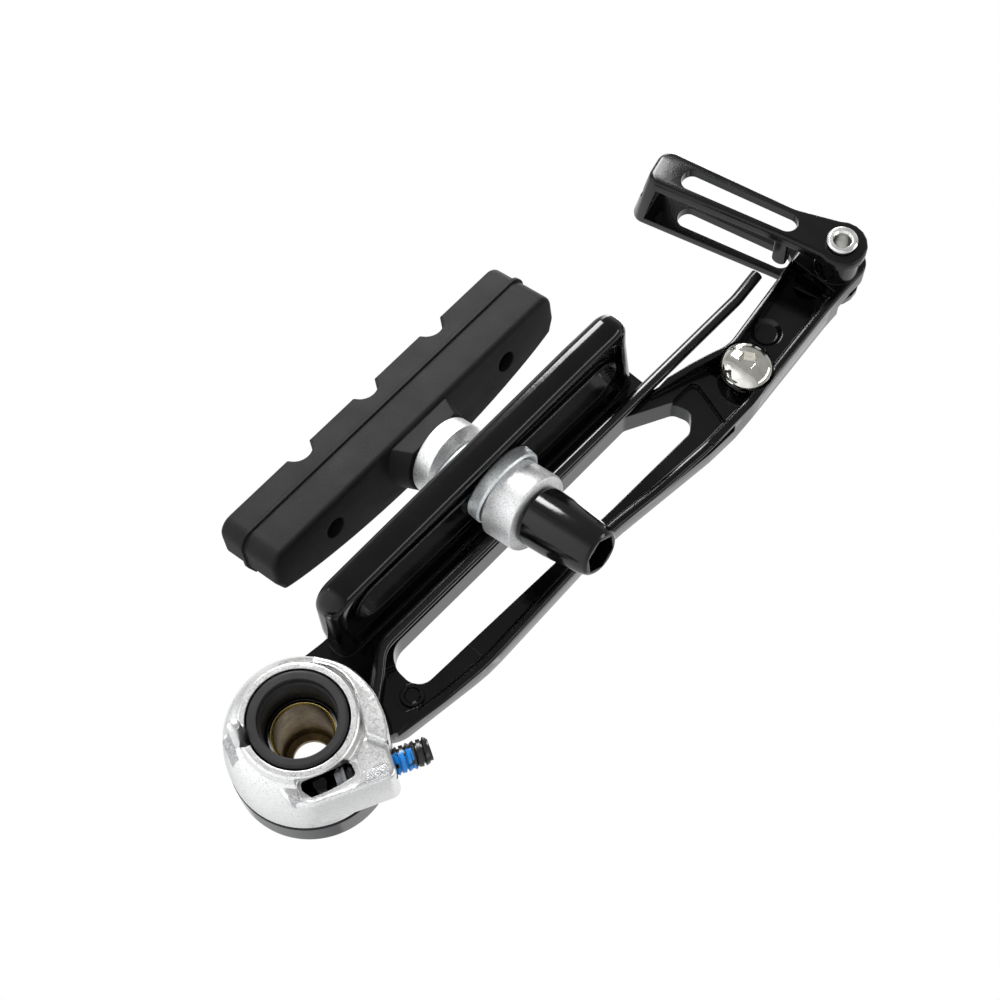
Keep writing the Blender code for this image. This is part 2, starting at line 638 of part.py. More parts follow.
def make_arm():
    """Cast arm: hub, web with a window, slot wall, rimmed channel and tongue."""
    arm = plate("brake_arm", [arm_outline()], RIM_BACK_Y - WEB_FRONT_Y,
                arm_plane(RIM_BACK_Y, WEB_FRONT_Y), EDGE_ROUND)
    outside = 0.03
    back = Matrix.Rotation(math.pi / 2, 4, "X")
    rivet_place = Matrix.Translation((RIVET_X, 0, RIVET_Z)) @ back

    slope = arm_tools_across("arm_slope", [
        (WEB_BACK_Y, -outside, 0.0),
        (WEB_BACK_Y, SLOPE_START_Z, 0.006),
        (RIM_BACK_Y + TINY, SLOPE_END_Z, 0.0),
        (outside, SLOPE_END_Z, 0.0),
        (outside, -outside, 0.0),
    ], -outside, outside)
    leg_way = box("arm_leg_way", (0.0017, WEB_BACK_Y, 0.050), (0.02, 0.01, 0.0760))
    front_step = arm_tools_across("arm_front_step", [
        (UPPER_FRONT_Y, 0.0810, 0.004),
        (WEB_FRONT_Y - 0.001, 0.0740, 0.0),
        (WEB_FRONT_Y - 0.001, 0.12, 0.0),
        (UPPER_FRONT_Y, 0.12, 0.0),
    ], -outside, outside)
    channel_corners = [
        (0.0017, 0.0600, 0.0),
        (0.0017, 0.0722, 0.0),
        *upper_edge(RIM_WIDTH)[1:],
        (0.0006, 0.1030, 0.0),
        (-0.0074, 0.1030, 0.0),
        *outer_edge(RIM_WIDTH)[1:4],
        (outer_edge(RIM_WIDTH)[3][0], 0.0600, 0.0),
    ]
    channel_corners.remove(upper_edge(RIM_WIDTH)[3])
    channel = arm_tools_down("arm_channel", [outline(channel_corners)], RIM_BACK_Y + 0.001, WEB_BACK_Y)
    hub_room = rod("arm_hub_room", HUB_RADIUS + 0.0003, HUB_BACK_Y, 0.0, AXIS_Y, 64)
    cut(arm, slope, leg_way, front_step, channel, hub_room)

    hub_edge = 0.0006
    spigot_end = COLLAR_FOOT_Y - GAP
    hub_profile = [
        (0, spigot_end),
        (SPIGOT_RADIUS, spigot_end),
        (SPIGOT_RADIUS, HUB_BACK_Y),
        (HUB_RADIUS - hub_edge, HUB_BACK_Y),
        (HUB_RADIUS, HUB_BACK_Y - hub_edge),
        (HUB_RADIUS, HUB_FRONT_Y + hub_edge),
        (HUB_RADIUS - hub_edge, HUB_FRONT_Y),
        (0, HUB_FRONT_Y),
    ]
    hub = turned("arm_hub", hub_profile, AXIS_Y, 64, collection=TOOLS)
    wall_corners = [
        (-0.0156, 0.0125, 0.0),
        (-0.0056, 0.0119, 0.010),
        (0.0050, 0.0120, 0.0065),
        (0.0054, 0.0190, 0.010),
        (0.0077, 0.0620, 0.006),
        (0.0078, 0.0708, 0.0045),
        (0.0015, 0.0711, 0.010),
        (-0.0073, 0.0721, 0.010),
        (-0.0156, 0.0731, 0.0),
    ]
    wall = plate("arm_wall", [outline(wall_corners, math.radians(15))], WALL_PAD_X - WALL_NUT_X,
                 wall_plane(WALL_NUT_X, WALL_PAD_X), WALL_ROUND, TOOLS, 2)
    tongue = rod("arm_tongue", TONGUE_RADIUS, -TONGUE_BACK_Y, -(WEB_BACK_Y - 0.0002), rivet_place, 32)
    join(arm, hub, wall, tongue)

    slot_ends = ((SLOT_Y, SLOT_LOW_Z), (SLOT_Y, SLOT_HIGH_Z))
    slot = plate("arm_slot", [stadium(*slot_ends, SLOT_RADIUS)], 0.0065,
                 wall_plane(WALL_NUT_X - 0.001, WALL_PAD_X + 0.001), 0, TOOLS)
    bead = stadium(*slot_ends, SLOT_RADIUS + BEAD_WIDTH)
    field = outline([
        (-0.0122, 0.0142, 0.003),
        (0.0036, 0.0142, 0.004),
        (0.0040, 0.0250, 0.010),
        (0.0056, 0.0560, 0.010),
        (0.0058, 0.0688, 0.004),
        (-0.0122, 0.0704, 0.003),
    ])
    groove = plate("arm_field_floor", [field, bead], 0.0040,
                   wall_plane(WALL_FIELD_X - 0.0040, WALL_FIELD_X), 0, TOOLS)
    seat_room = plate("arm_field_seat", [field], 0.0040, wall_plane(SEAT_X - 0.0040, SEAT_X), 0, TOOLS)
    window = arm_tools_down("arm_window", [outline([
        (0.00195, 0.0166, 0.0045),
        (0.0020, 0.0365, 0.010),
        (0.0024, 0.0672, 0.0016),
        (-0.0012, 0.0742, 0.0018),
        (-0.0040, 0.0751, 0.0016),
        (-0.00605, 0.0722, 0.0016),
        (-0.0060, 0.0557, 0.010),
        (-0.0050, 0.0164, 0.0026),
    ])], WEB_BACK_Y + 0.004, WEB_FRONT_Y - 0.0015)
    bar_floor = WEB_BACK_Y - RECESS_DEPTH
    recess = arm_tools_down("arm_recess", [outline([
        (-0.0049, 0.0180, 0.0),
        (-0.0079, 0.0200, 0.0),
        (outer_edge(BEAD_EDGE)[5][0], 0.0258, 0.03),
        (outer_edge(BEAD_EDGE)[4][0], 0.0527, 0.02),
        (-0.0087, 0.0680, 0.01),
        (-0.0084, 0.0765, 0.002),
        (-0.0010, 0.0790, 0.001),
        (-0.0008, 0.0735, 0.002),
        (-0.0050, 0.0720, 0.0),
    ])], WEB_BACK_Y + 0.0010, bar_floor)
    pocket = arm_tools_down("arm_pocket", [outline([
        (0.0004, 0.0150, 0.0006),
        (-0.0058, 0.0124, 0.0010),
        (-0.0070, 0.0150, 0.010),
        (-0.0078, 0.0262, 0.0),
        (-0.0053, 0.0262, 0.0),
        (-0.0049, 0.0185, 0.0),
        (-0.0006, 0.0175, 0.0),
    ])], WEB_BACK_Y + 0.0008, WEB_BACK_Y - POCKET_DEPTH)
    stop_pocket = arm_tools_down("arm_stop_pocket", [outline([
        (-0.0008, 0.0814, 0.0006),
        (-0.0026, 0.0856, 0.0020),
        (-0.0034, 0.0890, 0.0020),
        (-0.0086, 0.0895, 0.0020),
        (-0.0090, 0.0814, 0.0006),
    ])], WEB_BACK_Y + 0.0010, bar_floor)
    stop_hole = rod("arm_stop_hole", STOP_SHANK_RADIUS + RUN_GAP, 0.012, 0.019,
                    Matrix.Translation((STOP_X, 0, STOP_Z)) @ back, 20)
    stop_head_room = rod("arm_stop_head_room", STOP_HEAD_RADIUS + GAP,
                         -(STOP_HEAD_BACK_Y + 0.003), -(STOP_HEAD_BACK_Y - STOP_HEAD_HEIGHT - GAP),
                         Matrix.Translation((STOP_X, 0, STOP_Z)) @ back, 32)
    rivet_hole = rod("arm_rivet_hole", RIVET_RADIUS + RUN_GAP, 0.004, 0.019, rivet_place, 20)
    bush_bore = rod("arm_bush_bore", BUSH_RADIUS + GAP, HUB_FRONT_Y - TINY, -0.004, AXIS_Y, 48)
    link_room = box("arm_link_room", (-0.008, WEB_FRONT_Y - 0.001, LINK_ROOM_LOW),
                    (0.012, TONGUE_FRONT_Y, 0.012), link_place())
    mark = rod("arm_ejector_mark", 0.0028, 0.0120, -WEB_BACK_Y + 0.0003,
               Matrix.Translation((-0.0035, 0, 0.0938)) @ back, 24)
    cut(arm, slot, groove, seat_room, window, recess, pocket, stop_pocket, stop_hole, rivet_hole)
    cut(arm, stop_head_room, bush_bore, link_room, mark)

    pocket_floor = WEB_BACK_Y - POCKET_DEPTH
    boss_profile = [
        (0, -(pocket_floor - 0.0004)),
        (0.0018, -(pocket_floor - 0.0004)),
        (0.0017, -(WEB_BACK_Y - 0.0003)),
        (0.0012, -(WEB_BACK_Y - 0.0003)),
        (0.0010, -(pocket_floor + 0.0003)),
        (0, -(pocket_floor + 0.0003)),
    ]
    boss_place = Matrix.Translation((-0.00493, 0, 0.0153)) @ back
    boss = turned("arm_ejector_boss", boss_profile, boss_place, 18, collection=TOOLS)
    join(arm, boss)
    return paint(arm, BLACK, 0.25, 0.0)


def make_bush():
    """Brass bush pressed into the hub."""
    front = BUSH_FRONT_Y
    chamfer = 0.0002
    profile = [
        (BUSH_BORE_RADIUS + chamfer, BUSH_BACK_Y),
        (BUSH_RADIUS, BUSH_BACK_Y),
        (BUSH_RADIUS, front),
        (BUSH_BORE_RADIUS + chamfer, front),
        (BUSH_BORE_RADIUS, front + chamfer),
        (BUSH_BORE_RADIUS, BUSH_BACK_Y - chamfer),
    ]
    bush = turned("pivot_bush", profile, AXIS_Y, 40, closed=True)
    return paint(bush, (0.72, 0.56, 0.25), 0.3, 1.0)


def dome_profile(radius, height, foot, steps=5):
    """Rounded head: from the axis over the dome to its underside."""
    points = [(0, foot + height)]
    for part in range(1, steps + 1):
        angle = math.pi / 2 * part / steps
        points.append((radius * math.sin(angle), foot + height * 0.15 + height * 0.85 * math.cos(angle)))
    points.append((radius, foot))
    return points


def make_stop_screw():
    """Button head screw whose head holds the spring's leg down."""
    foot = STOP_HEAD_BACK_Y - STOP_HEAD_HEIGHT
    end = UPPER_FRONT_Y + 0.0003
    profile = dome_profile(STOP_HEAD_RADIUS, STOP_HEAD_HEIGHT, foot)
    profile += [(STOP_SHANK_RADIUS, foot), (STOP_SHANK_RADIUS, end), (0, end)]
    place = Matrix.Translation((STOP_X, 0, STOP_Z))
    screw = turned("spring_stop_screw", profile, place @ AXIS_Y, 32)
    socket_depth = 0.0014
    socket_place = place @ Matrix.Translation((0, STOP_HEAD_BACK_Y, 0)) @ AXIS_Y
    cut(screw, plate("stop_socket", [hexagon(STOP_HEX)], 2 * socket_depth, socket_place, 0, TOOLS))
    return paint(screw, (0.75, 0.74, 0.70), 0.2, 1.0)


def slant_end(piece, place):
    """Lean the far end of a piece of the link, so that its end wall stands at a slant."""
    middle_y = (LINK_BACK_Y + LINK_FRONT_Y) / 2
    to_link = place.inverted() @ piece.matrix_basis
    to_piece = to_link.inverted()
    for vertex in piece.data.vertices:
        spot = to_link @ vertex.co
        if spot.x > LINK_LENGTH / 2:
            spot.x += LINK_SLANT * (middle_y - spot.y)
            vertex.co = to_piece @ spot
    piece.data.update()
    return piece


def make_link():
    """Bent plate that holds the cable guide: two slotted sides, an end wall and a stop tab."""
    place = link_place()
    low = LINK_MIDDLE - LINK_HALF_WIDTH
    high = LINK_MIDDLE + LINK_HALF_WIDTH
    eye = []
    for part in range(0, 13):
        angle = math.radians(62 + 236 * part / 12)
        eye.append((LINK_EYE_RADIUS * math.cos(angle), LINK_EYE_RADIUS * math.sin(angle), 0.0))
    side = [(LINK_LENGTH, low, 0.0018), (LINK_LENGTH, high, 0.0018), (0.0085, high, 0.008), *eye,
            (0.0085, low, 0.006)]
    link = plate("noodle_link", [outline(side, math.radians(12))], LINK_BACK_Y - LINK_FRONT_Y,
                 arm_plane(LINK_BACK_Y, LINK_FRONT_Y, place), 0.0006)
    slant_end(link, place)
    room = box("link_room", (-0.006, LINK_FRONT_Y + LINK_PLATE, -0.006),
               (LINK_LENGTH - LINK_PLATE, LINK_BACK_Y - LINK_PLATE, 0.006), place)
    slant_end(room, place)
    slot = plate("link_slots", [stadium((LINK_SLOT_NEAR + LINK_SLOT_RADIUS, LINK_MIDDLE),
                                        (LINK_SLOT_FAR - LINK_SLOT_RADIUS, LINK_MIDDLE), LINK_SLOT_RADIUS)],
                 0.02, arm_plane(LINK_BACK_Y + 0.003, LINK_FRONT_Y - 0.003, place), 0, TOOLS)
    back = Matrix.Rotation(math.pi / 2, 4, "X")
    eye_hole = rod("link_eye_hole", RIVET_RADIUS + RUN_GAP, -LINK_BACK_Y - 0.001, -LINK_FRONT_Y + 0.001,
                   place @ back, 20)
    middle_y = (LINK_BACK_Y + LINK_FRONT_Y) / 2
    guide_hole = rod("link_guide_hole", LINK_HOLE_RADIUS, LINK_LENGTH - 0.004, LINK_LENGTH + 0.001,
                     place @ Matrix.Translation((0, middle_y, LINK_MIDDLE)) @ ALONG_X, 24)
    cut(link, room, slot, eye_hole, guide_hole)

    tab_near = 0.0070
    tab_width = 0.0023
    tab_front = -0.0110
    tab_back = LINK_BACK_Y - LINK_PLATE / 2
    tab_corners = [
        (tab_near, -tab_back, 0.0),
        (tab_near + tab_width, -tab_back, 0.0),
        (tab_near + tab_width, -tab_front, 0.0011),
        (tab_near, -tab_front, 0.0011),
    ]
    flat = place @ Matrix.Translation((0, 0, low + LINK_PLATE / 2)) @ Matrix.Rotation(math.pi, 4, "X")
    tab = plate("link_tab", [outline(tab_corners)], LINK_PLATE - 0.0002, flat, 0.0003, TOOLS)
    join(link, tab)
    return paint(link, BLACK, 0.3, 0.0)


def make_rivet():
    """Tubular rivet through the link and the arm's tongue."""
    head_back = LINK_BACK_Y + GAP + 0.0007
    head_front = LINK_BACK_Y + GAP
    flare_back = LINK_FRONT_Y - GAP
    flare_front = flare_back - 0.0006
    profile = [
        (RIVET_BORE_RADIUS + 0.0003, head_back),
        (RIVET_HEAD_RADIUS - 0.0003, head_back),
        (RIVET_HEAD_RADIUS, head_back - 0.0003),
        (RIVET_HEAD_RADIUS, head_front),
        (RIVET_RADIUS, head_front),
        (RIVET_RADIUS, flare_back),
        (RIVET_HEAD_RADIUS - 0.0002, flare_back),
        (RIVET_HEAD_RADIUS - 0.0004, flare_front),
        (RIVET_BORE_RADIUS + 0.0003, flare_front),
        (RIVET_BORE_RADIUS, flare_front + 0.0004),
        (RIVET_BORE_RADIUS, head_back - 0.0004),
    ]
    rivet = turned("link_rivet", profile, Matrix.Translation((RIVET_X, 0, RIVET_Z)) @ AXIS_Y, 32, closed=True)
    return paint(rivet, (0.80, 0.80, 0.79), 0.25, 1.0)


def seat_arc(sphere, reach_in, reach_out, steps=5):
    """Points (radius, height) on a sphere about the origin, from reach_in to reach_out."""
    points = []
    for part in range(steps + 1):
        radius = reach_in + (reach_out - reach_in) * part / steps
        points.append((radius, math.sqrt(sphere * sphere - radius * radius)))
    return points


def seat_centre(side):
    """Centre of a dome washer's sphere on the post's axis; side is -1 at the nut, 1 at the pad."""
    flat_x = SEAT_X - GAP if side < 0 else WALL_PAD_X + GAP
    centre_x = flat_x + side * SEAT_HEIGHT
    along = (centre_x - POST[0]) / POST_PLACE.col[0].x
    return POST_PLACE @ Vector((along, 0, 0)), along


def make_cup(name, side):
    """Cup washer: flat on the wall, with a round seat for the dome washer."""
    centre, along = seat_centre(side)
    ball = SEAT_RADIUS + GAP
    edge = 0.0003
    seat_edge = CUP_RADIUS - edge
    rim = math.sqrt(ball * ball - seat_edge * seat_edge)
    profile = [
        (CUP_HOLE_RADIUS, SEAT_HEIGHT),
        (CUP_RADIUS - edge, SEAT_HEIGHT),
        (CUP_RADIUS, SEAT_HEIGHT - edge),
        (CUP_RADIUS, rim + edge),
        *reversed(seat_arc(ball, CUP_HOLE_RADIUS, seat_edge, 4)),
    ]
    turn = Matrix.Rotation(side * -math.pi / 2, 4, "Y")
    return paint(turned(name, profile, Matrix.Translation(centre) @ turn, 36, closed=True), ZINC, 0.3, 1.0)


def make_dome(name, side, back_along):
    """Dome washer: round towards the wall, flat at its back, on the post's axis."""
    centre, along = seat_centre(side)
    back = abs(along) - back_along
    lip = 0.0005
    profile = [
        *seat_arc(SEAT_RADIUS, WASHER_HOLE_RADIUS, WASHER_RADIUS, 6),
        (WASHER_RADIUS, back + lip),
        (WASHER_RADIUS - 0.3 * lip, back + 0.3 * lip),
        (WASHER_RADIUS - lip, back),
        (WASHER_HOLE_RADIUS, back),
    ]
    turn = Matrix.Rotation(side * -math.pi / 2, 4, "Y")
    place = POST_PLACE @ Matrix.Translation((along, 0, 0)) @ turn
    return paint(turned(name, profile, place, 36, closed=True), ZINC, 0.3, 1.0)


def make_nut():
    """Long tapered nut with a hex socket in its round end."""
    base = -NUT_DOME_BACK - GAP
    tip = base - NUT_LENGTH
    round_end = 0.0010
    profile = [
        (0, base),
        (NUT_BASE_RADIUS - 0.0002, base),
        (NUT_BASE_RADIUS, base - 0.0003),
        (NUT_BASE_RADIUS - 0.0001, base - 0.35 * NUT_LENGTH),
        (NUT_TIP_RADIUS, tip + round_end),
        (NUT_TIP_RADIUS - 0.3 * round_end, tip + 0.3 * round_end),
        (NUT_TIP_RADIUS - 0.7 * round_end, tip),
        (0, tip),
    ]
    nut = turned("pad_nut", profile, POST_PLACE @ ALONG_X, 48)
    thread = rod("nut_thread", STUD_RADIUS + RUN_GAP, tip + NUT_HEX_DEPTH + 0.0004, base + TINY,
                 POST_PLACE @ ALONG_X, 24)
    lead = rod("nut_lead", 0.0022, tip + NUT_HEX_DEPTH - TINY, tip + NUT_HEX_DEPTH + 0.001,
               POST_PLACE @ ALONG_X, 24)
    socket_place = POST_PLACE @ Matrix.Translation((tip, 0, 0)) @ ALONG_X
    socket = plate("nut_socket", [hexagon(NUT_HEX)], 2 * NUT_HEX_DEPTH, socket_place, 0, TOOLS)
    cut(nut, thread, lead, socket)
    return paint(nut, BLACK, 0.2, 0.3)


def pad_plane(near, far):
    """Frame for an outline across the post: its thickness lies between two places along it."""
    columns = Matrix(((0, 0, 1), (1, 0, 0), (0, 1, 0))).to_4x4()
    return POST_PLACE @ Matrix.Translation(((near + far) / 2, 0, 0)) @ columns


def pad_outline(grow=0.0):
    """Boat-shaped pad seen along the post: one long side straight, the other bowed."""
    near = PAD_NEAR + grow
    low = PAD_LOW - grow
    high = PAD_HIGH + grow
    end_far = PAD_END_FAR - grow
    middle = (low + high) / 2
    half = (high - low) / 2 - 0.0010
    bow = []
    steps = 8
    for part in range(steps + 1):
        along = -math.cos(math.pi * part / steps)
        across = end_far + (PAD_FAR - grow - end_far) * (1 - along * along) ** 0.85
        bow.append((across, middle + along * half, 0.0))
    corners = [(near, high, 0.0024), (near, low, 0.0024), (end_far + 0.0022, low, 0.001), *bow]
    corners.append((end_far + 0.0022, high, 0.001))
    return outline(corners)


def make_pad():
    """Moulded rubber block with a boss, three notches, two pin holes and room for its insert."""
    back = PAD_DOME_BACK + GAP + PAD_BOSS_HEIGHT
    front = back + PAD_THICKNESS
    ridge_place = back + PAD_RIDGE_PLACE
    pad = plate("pad_rubber", [pad_outline()], front - back, pad_plane(back, front), 0.0008)
    ridge = plate("pad_ridge", [pad_outline(PAD_RIDGE)], 0.0006,
                  pad_plane(ridge_place - 0.0003, ridge_place + 0.0003), 0, TOOLS)
    boss_top = back - PAD_BOSS_HEIGHT
    boss_profile = [
        (0, back + 0.0010),
        (0.0076, back + 0.0010),
        (0.0070, back - 0.0006),
        (0.0062, boss_top),
        (0, boss_top),
    ]
    boss = turned("pad_boss", boss_profile, POST_PLACE @ ALONG_X, 36, collection=TOOLS)
    boss_room = box("pad_boss_room", (back - 0.0040, -0.0060, -0.010), (back + 0.0020, PAD_NEAR - 0.0006, 0.010),
                    POST_PLACE)
    boolean(boss, boss_room, "INTERSECT")
    join(pad, ridge, boss)
    cutters = []
    for index, place_z in enumerate(PAD_NOTCH_PLACES):
        across = Matrix.Translation((front + 0.0002, 0, place_z)) @ Matrix.Rotation(math.pi / 2, 4, "X")
        cutters.append(rod(f"pad_notch_{index}", PAD_NOTCH_RADIUS, -0.02, 0.02, POST_PLACE @ across, 28))
    insert_low = back + INSERT_DEPTH
    insert_high = insert_low + INSERT_THICKNESS
    room = stadium((0, -INSERT_HALF_LENGTH), (0, INSERT_HALF_LENGTH), INSERT_HALF_WIDTH + GAP, 8)
    cutters.append(plate("pad_insert_room", [room], INSERT_THICKNESS + 2 * GAP,
                         pad_plane(insert_low - GAP, insert_high + GAP), 0, TOOLS))
    cutters.append(rod("pad_stud_hole", STUD_RADIUS + GAP, boss_top - 0.001, insert_low,
                       POST_PLACE @ ALONG_X, 24))
    for index, place_z in enumerate(PIN_HOLE_PLACES):
        hole_place = POST_PLACE @ Matrix.Translation((0, 0, place_z)) @ ALONG_X
        cutters.append(rod(f"pad_pin_hole_{index}", PIN_HOLE_RADIUS, back - 0.001, insert_low, hole_place, 18))
    cut(pad, *cutters)
    return paint(pad, RUBBER, 0.8, 0.0)


def make_insert():
    """Steel plate moulded into the pad, with a hole for the stud's riveted end."""
    low = PAD_DOME_BACK + GAP + PAD_BOSS_HEIGHT + INSERT_DEPTH
    high = low + INSERT_THICKNESS
    ring = circle(0, 0, STUD_RADIUS - 0.0006 + GAP, 24)
    body = stadium((0, -INSERT_HALF_LENGTH), (0, INSERT_HALF_LENGTH), INSERT_HALF_WIDTH, 8)
    insert = plate("pad_insert", [body, ring], high - low, pad_plane(low, high))
    return paint(insert, (0.55, 0.55, 0.56), 0.4, 1.0)


def make_stud():
    """Threaded stud, riveted into the insert and running out to the nut."""
    low = PAD_DOME_BACK + GAP + PAD_BOSS_HEIGHT + INSERT_DEPTH
    rivet_end = low + INSERT_THICKNESS
    shoulder = low - GAP
    outer = -NUT_DOME_BACK - GAP - NUT_LENGTH + NUT_HEX_DEPTH + 0.0012
    chamfer = 0.0005
    profile = [
        (0, rivet_end),
        (STUD_RADIUS - 0.0006, rivet_end),
        (STUD_RADIUS - 0.0006, shoulder),
        (STUD_RADIUS, shoulder),
        (STUD_RADIUS, outer + chamfer),
        (STUD_RADIUS - chamfer, outer),
        (0, outer),
    ]
    stud = turned("pad_stud", profile, POST_PLACE @ ALONG_X, 28)
    return paint(stud, (0.6, 0.6, 0.6), 0.35, 1.0)


def main():
    make_housing()
    make_collar()
    make_spring()
    make_tension_screw()
    make_arm()
    make_bush()
    make_stop_screw()
    make_link()
    make_rivet()
    make_cup("nut_side_cup_washer", -1)
    make_cup("pad_side_cup_washer", 1)
    make_dome("nut_side_dome_washer", -1, NUT_DOME_BACK)
    make_dome("pad_side_dome_washer", 1, PAD_DOME_BACK)
    make_nut()
    make_pad()
    make_insert()
    make_stud()


main()
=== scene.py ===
"""Looks of one V-brake arm: finished surfaces, finer edges, light and the camera.

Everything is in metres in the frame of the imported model: the origin on the pivot axis at the
seat on the fork boss, +Z up the arm, +Y to the fork and +X to the wheel.
"""

import json
import math

import bmesh
import bpy
from mathutils import Matrix, Vector

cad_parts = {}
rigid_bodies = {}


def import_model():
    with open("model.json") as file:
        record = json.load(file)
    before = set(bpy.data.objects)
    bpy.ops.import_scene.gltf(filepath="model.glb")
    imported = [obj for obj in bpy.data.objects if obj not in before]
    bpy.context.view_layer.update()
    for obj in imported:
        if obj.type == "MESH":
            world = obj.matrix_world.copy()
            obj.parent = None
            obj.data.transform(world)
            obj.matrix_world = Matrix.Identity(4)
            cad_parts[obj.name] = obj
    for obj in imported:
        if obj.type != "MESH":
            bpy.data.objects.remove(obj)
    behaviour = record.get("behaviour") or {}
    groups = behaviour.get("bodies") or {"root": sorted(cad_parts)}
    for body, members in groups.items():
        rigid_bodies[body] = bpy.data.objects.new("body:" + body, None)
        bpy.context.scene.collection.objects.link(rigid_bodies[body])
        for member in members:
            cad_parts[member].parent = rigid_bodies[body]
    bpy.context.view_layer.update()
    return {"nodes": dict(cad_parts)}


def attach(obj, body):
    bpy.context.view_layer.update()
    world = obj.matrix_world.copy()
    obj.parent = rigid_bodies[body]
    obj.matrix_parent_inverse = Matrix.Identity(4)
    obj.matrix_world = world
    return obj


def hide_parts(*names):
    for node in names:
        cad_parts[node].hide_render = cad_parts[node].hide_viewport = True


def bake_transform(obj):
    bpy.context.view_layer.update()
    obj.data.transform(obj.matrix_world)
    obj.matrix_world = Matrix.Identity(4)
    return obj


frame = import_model()

# Clearances
GAP = 0.0003                    # left between pieces that touch
RUN_GAP = 0.0003                # running gap of a turning or threaded piece

# Hub of the arm and the bush in it
HUB_RADIUS = 0.01138
HUB_FRONT_Y = -0.01916
HUB_BACK_Y = -0.0133
SPIGOT_RADIUS = 0.0064
BUSH_RADIUS = 0.0045
BUSH_BORE_RADIUS = 0.0041
BUSH_BACK_Y = -0.0066
BUSH_FRONT_Y = -0.0195
BUSH_BOLT_ROOM = 0.0028         # radius inside the lip at its front
BUSH_LIP = 0.0011
BUSH_PAINTED_HIGHLIGHT = 0.00032       # painted golden highlight at its back

# Spring housing and its collar
HOUSING_RADIUS = 0.0113
HOUSING_WALL = 0.0013
HOUSING_FACE_Y = -0.0023
HOUSING_LIP_Y = -0.0003
HOUSING_ROOF = 0.0013
COLLAR_RADIUS = 0.00679
COLLAR_BODY_RADIUS = 0.0065
COLLAR_MOUTH_RADIUS = 0.0055
COLLAR_BORE_RADIUS = 0.00515
LIP_WIDTH = 0.0010
COLLAR_FOOT_Y = -0.0065
PIN_RADIUS = 0.0009
PIN_TIP_Y = 0.0032
PIN_X = 0.0045
PIN_Z = -0.0068

# Forms of the housing: its shoulder as (radius, y), the rib's edges as (radius in mm, degrees),
# the lug, the frame and the window as (along the tension screw, aside, corner radius)
SHOULDER = (
    (0.0091, -0.00235), (0.0096, -0.0028), (0.00995, -0.0035), (0.01030, -0.0045),
    (0.01070, -0.0058), (0.01105, -0.0076), (0.01125, -0.0096), (HOUSING_RADIUS, -0.0110),
)
RIB_OUTER = (
    (9.32, 56), (9.65, 74.5), (10.0, 88), (10.3, 101),
    (10.8, 115.5), (11.5, 132), (12.1, 144), (12.3, 150.5),
)
RIB_INNER = (
    (8.52, 56), (8.72, 74), (8.80, 88), (8.60, 101),
    (8.40, 115), (8.38, 128), (8.65, 140), (9.15, 148),
)
RIB_BACK_Y = -0.0011
RIB_FRONT_Y = -0.0061
PIN_BOSS_PLACE = (0.0082, -57)          # radius and degrees
PIN_POCKET_PLACE = (0.0074, -66)
UPPER_CAVITY_RADIUS = 0.0091            # inside the shoulder, above the wider room of the coil
CAVITY_STEP_Y = -0.0100
LEG_NOTCH_ANGLES = (62, 128)

# Tension screw: its axis lies at SCREW_OFFSET from the pivot and leans by SCREW_LEAN
SCREW_RADIUS = 0.00195
SCREW_Y = -0.0050
SCREW_OFFSET = 0.0086
SCREW_LEAN = math.radians(26.1)
SCREW_START = 0.0021
SCREW_LENGTH = 0.01315
SCREW_HEX = 0.0020
LUG_END = 0.0101
LUG_SIDE = 0.01125
LUG_FACE_Y = -0.0022
LUG_FRONT_Y = -0.0120
THREAD_DEPTH = 0.00038
THREAD_PITCH = 0.0008
LUG_CORNERS = (
    (-0.0052, 0.0062, 0.0010), (-0.0052, 0.0088, 0.0026), (-0.0030, LUG_SIDE + 0.0001, 0.0040),
    (LUG_END, LUG_SIDE + 0.0001, 0.0014), (LUG_END, 0.0046, 0.0010), (-0.0030, 0.0046, 0.0010),
)
FRAME_CORNERS = (
    (-0.0030, 0.0072, 0.0008), (0.0057, 0.0072, 0.0008),
    (0.0057, 0.0108, 0.0017), (-0.0030, 0.0108, 0.0019),
)
WINDOW_CORNERS = (
    (-0.0024, 0.0076, 0.0005), (0.0006, 0.0074, 0.003), (0.0047, 0.0070, 0.0008),
    (0.0049, 0.0092, 0.0006), (0.0028, 0.0097, 0.0008), (0.0008, 0.0100, 0.002),
    (-0.0016, 0.0101, 0.0004), (-0.0025, 0.0088, 0.0006),
)

# Return spring
WIRE_RADIUS = 0.00095
COIL_RADIUS = 0.0082
COIL_PITCH = 0.00213
COIL_LEAVES = math.radians(143.1)
COIL_TURNS = 1.175
LEG_Y = -0.0116
LEG_FOOT = (0.0028, 0.0170)
LEG_BEND = (0.0030, 0.0928)
LEG_TIP = (0.0036, 0.0982)
LEG_RISE = 0.0108               # straight run off the coil
LEG_BENDS = (0, 0.010, 0.005, 0.010, 0)
SPRING_HOOK_Y = -0.0040
HOOK_BEND = 0.0012

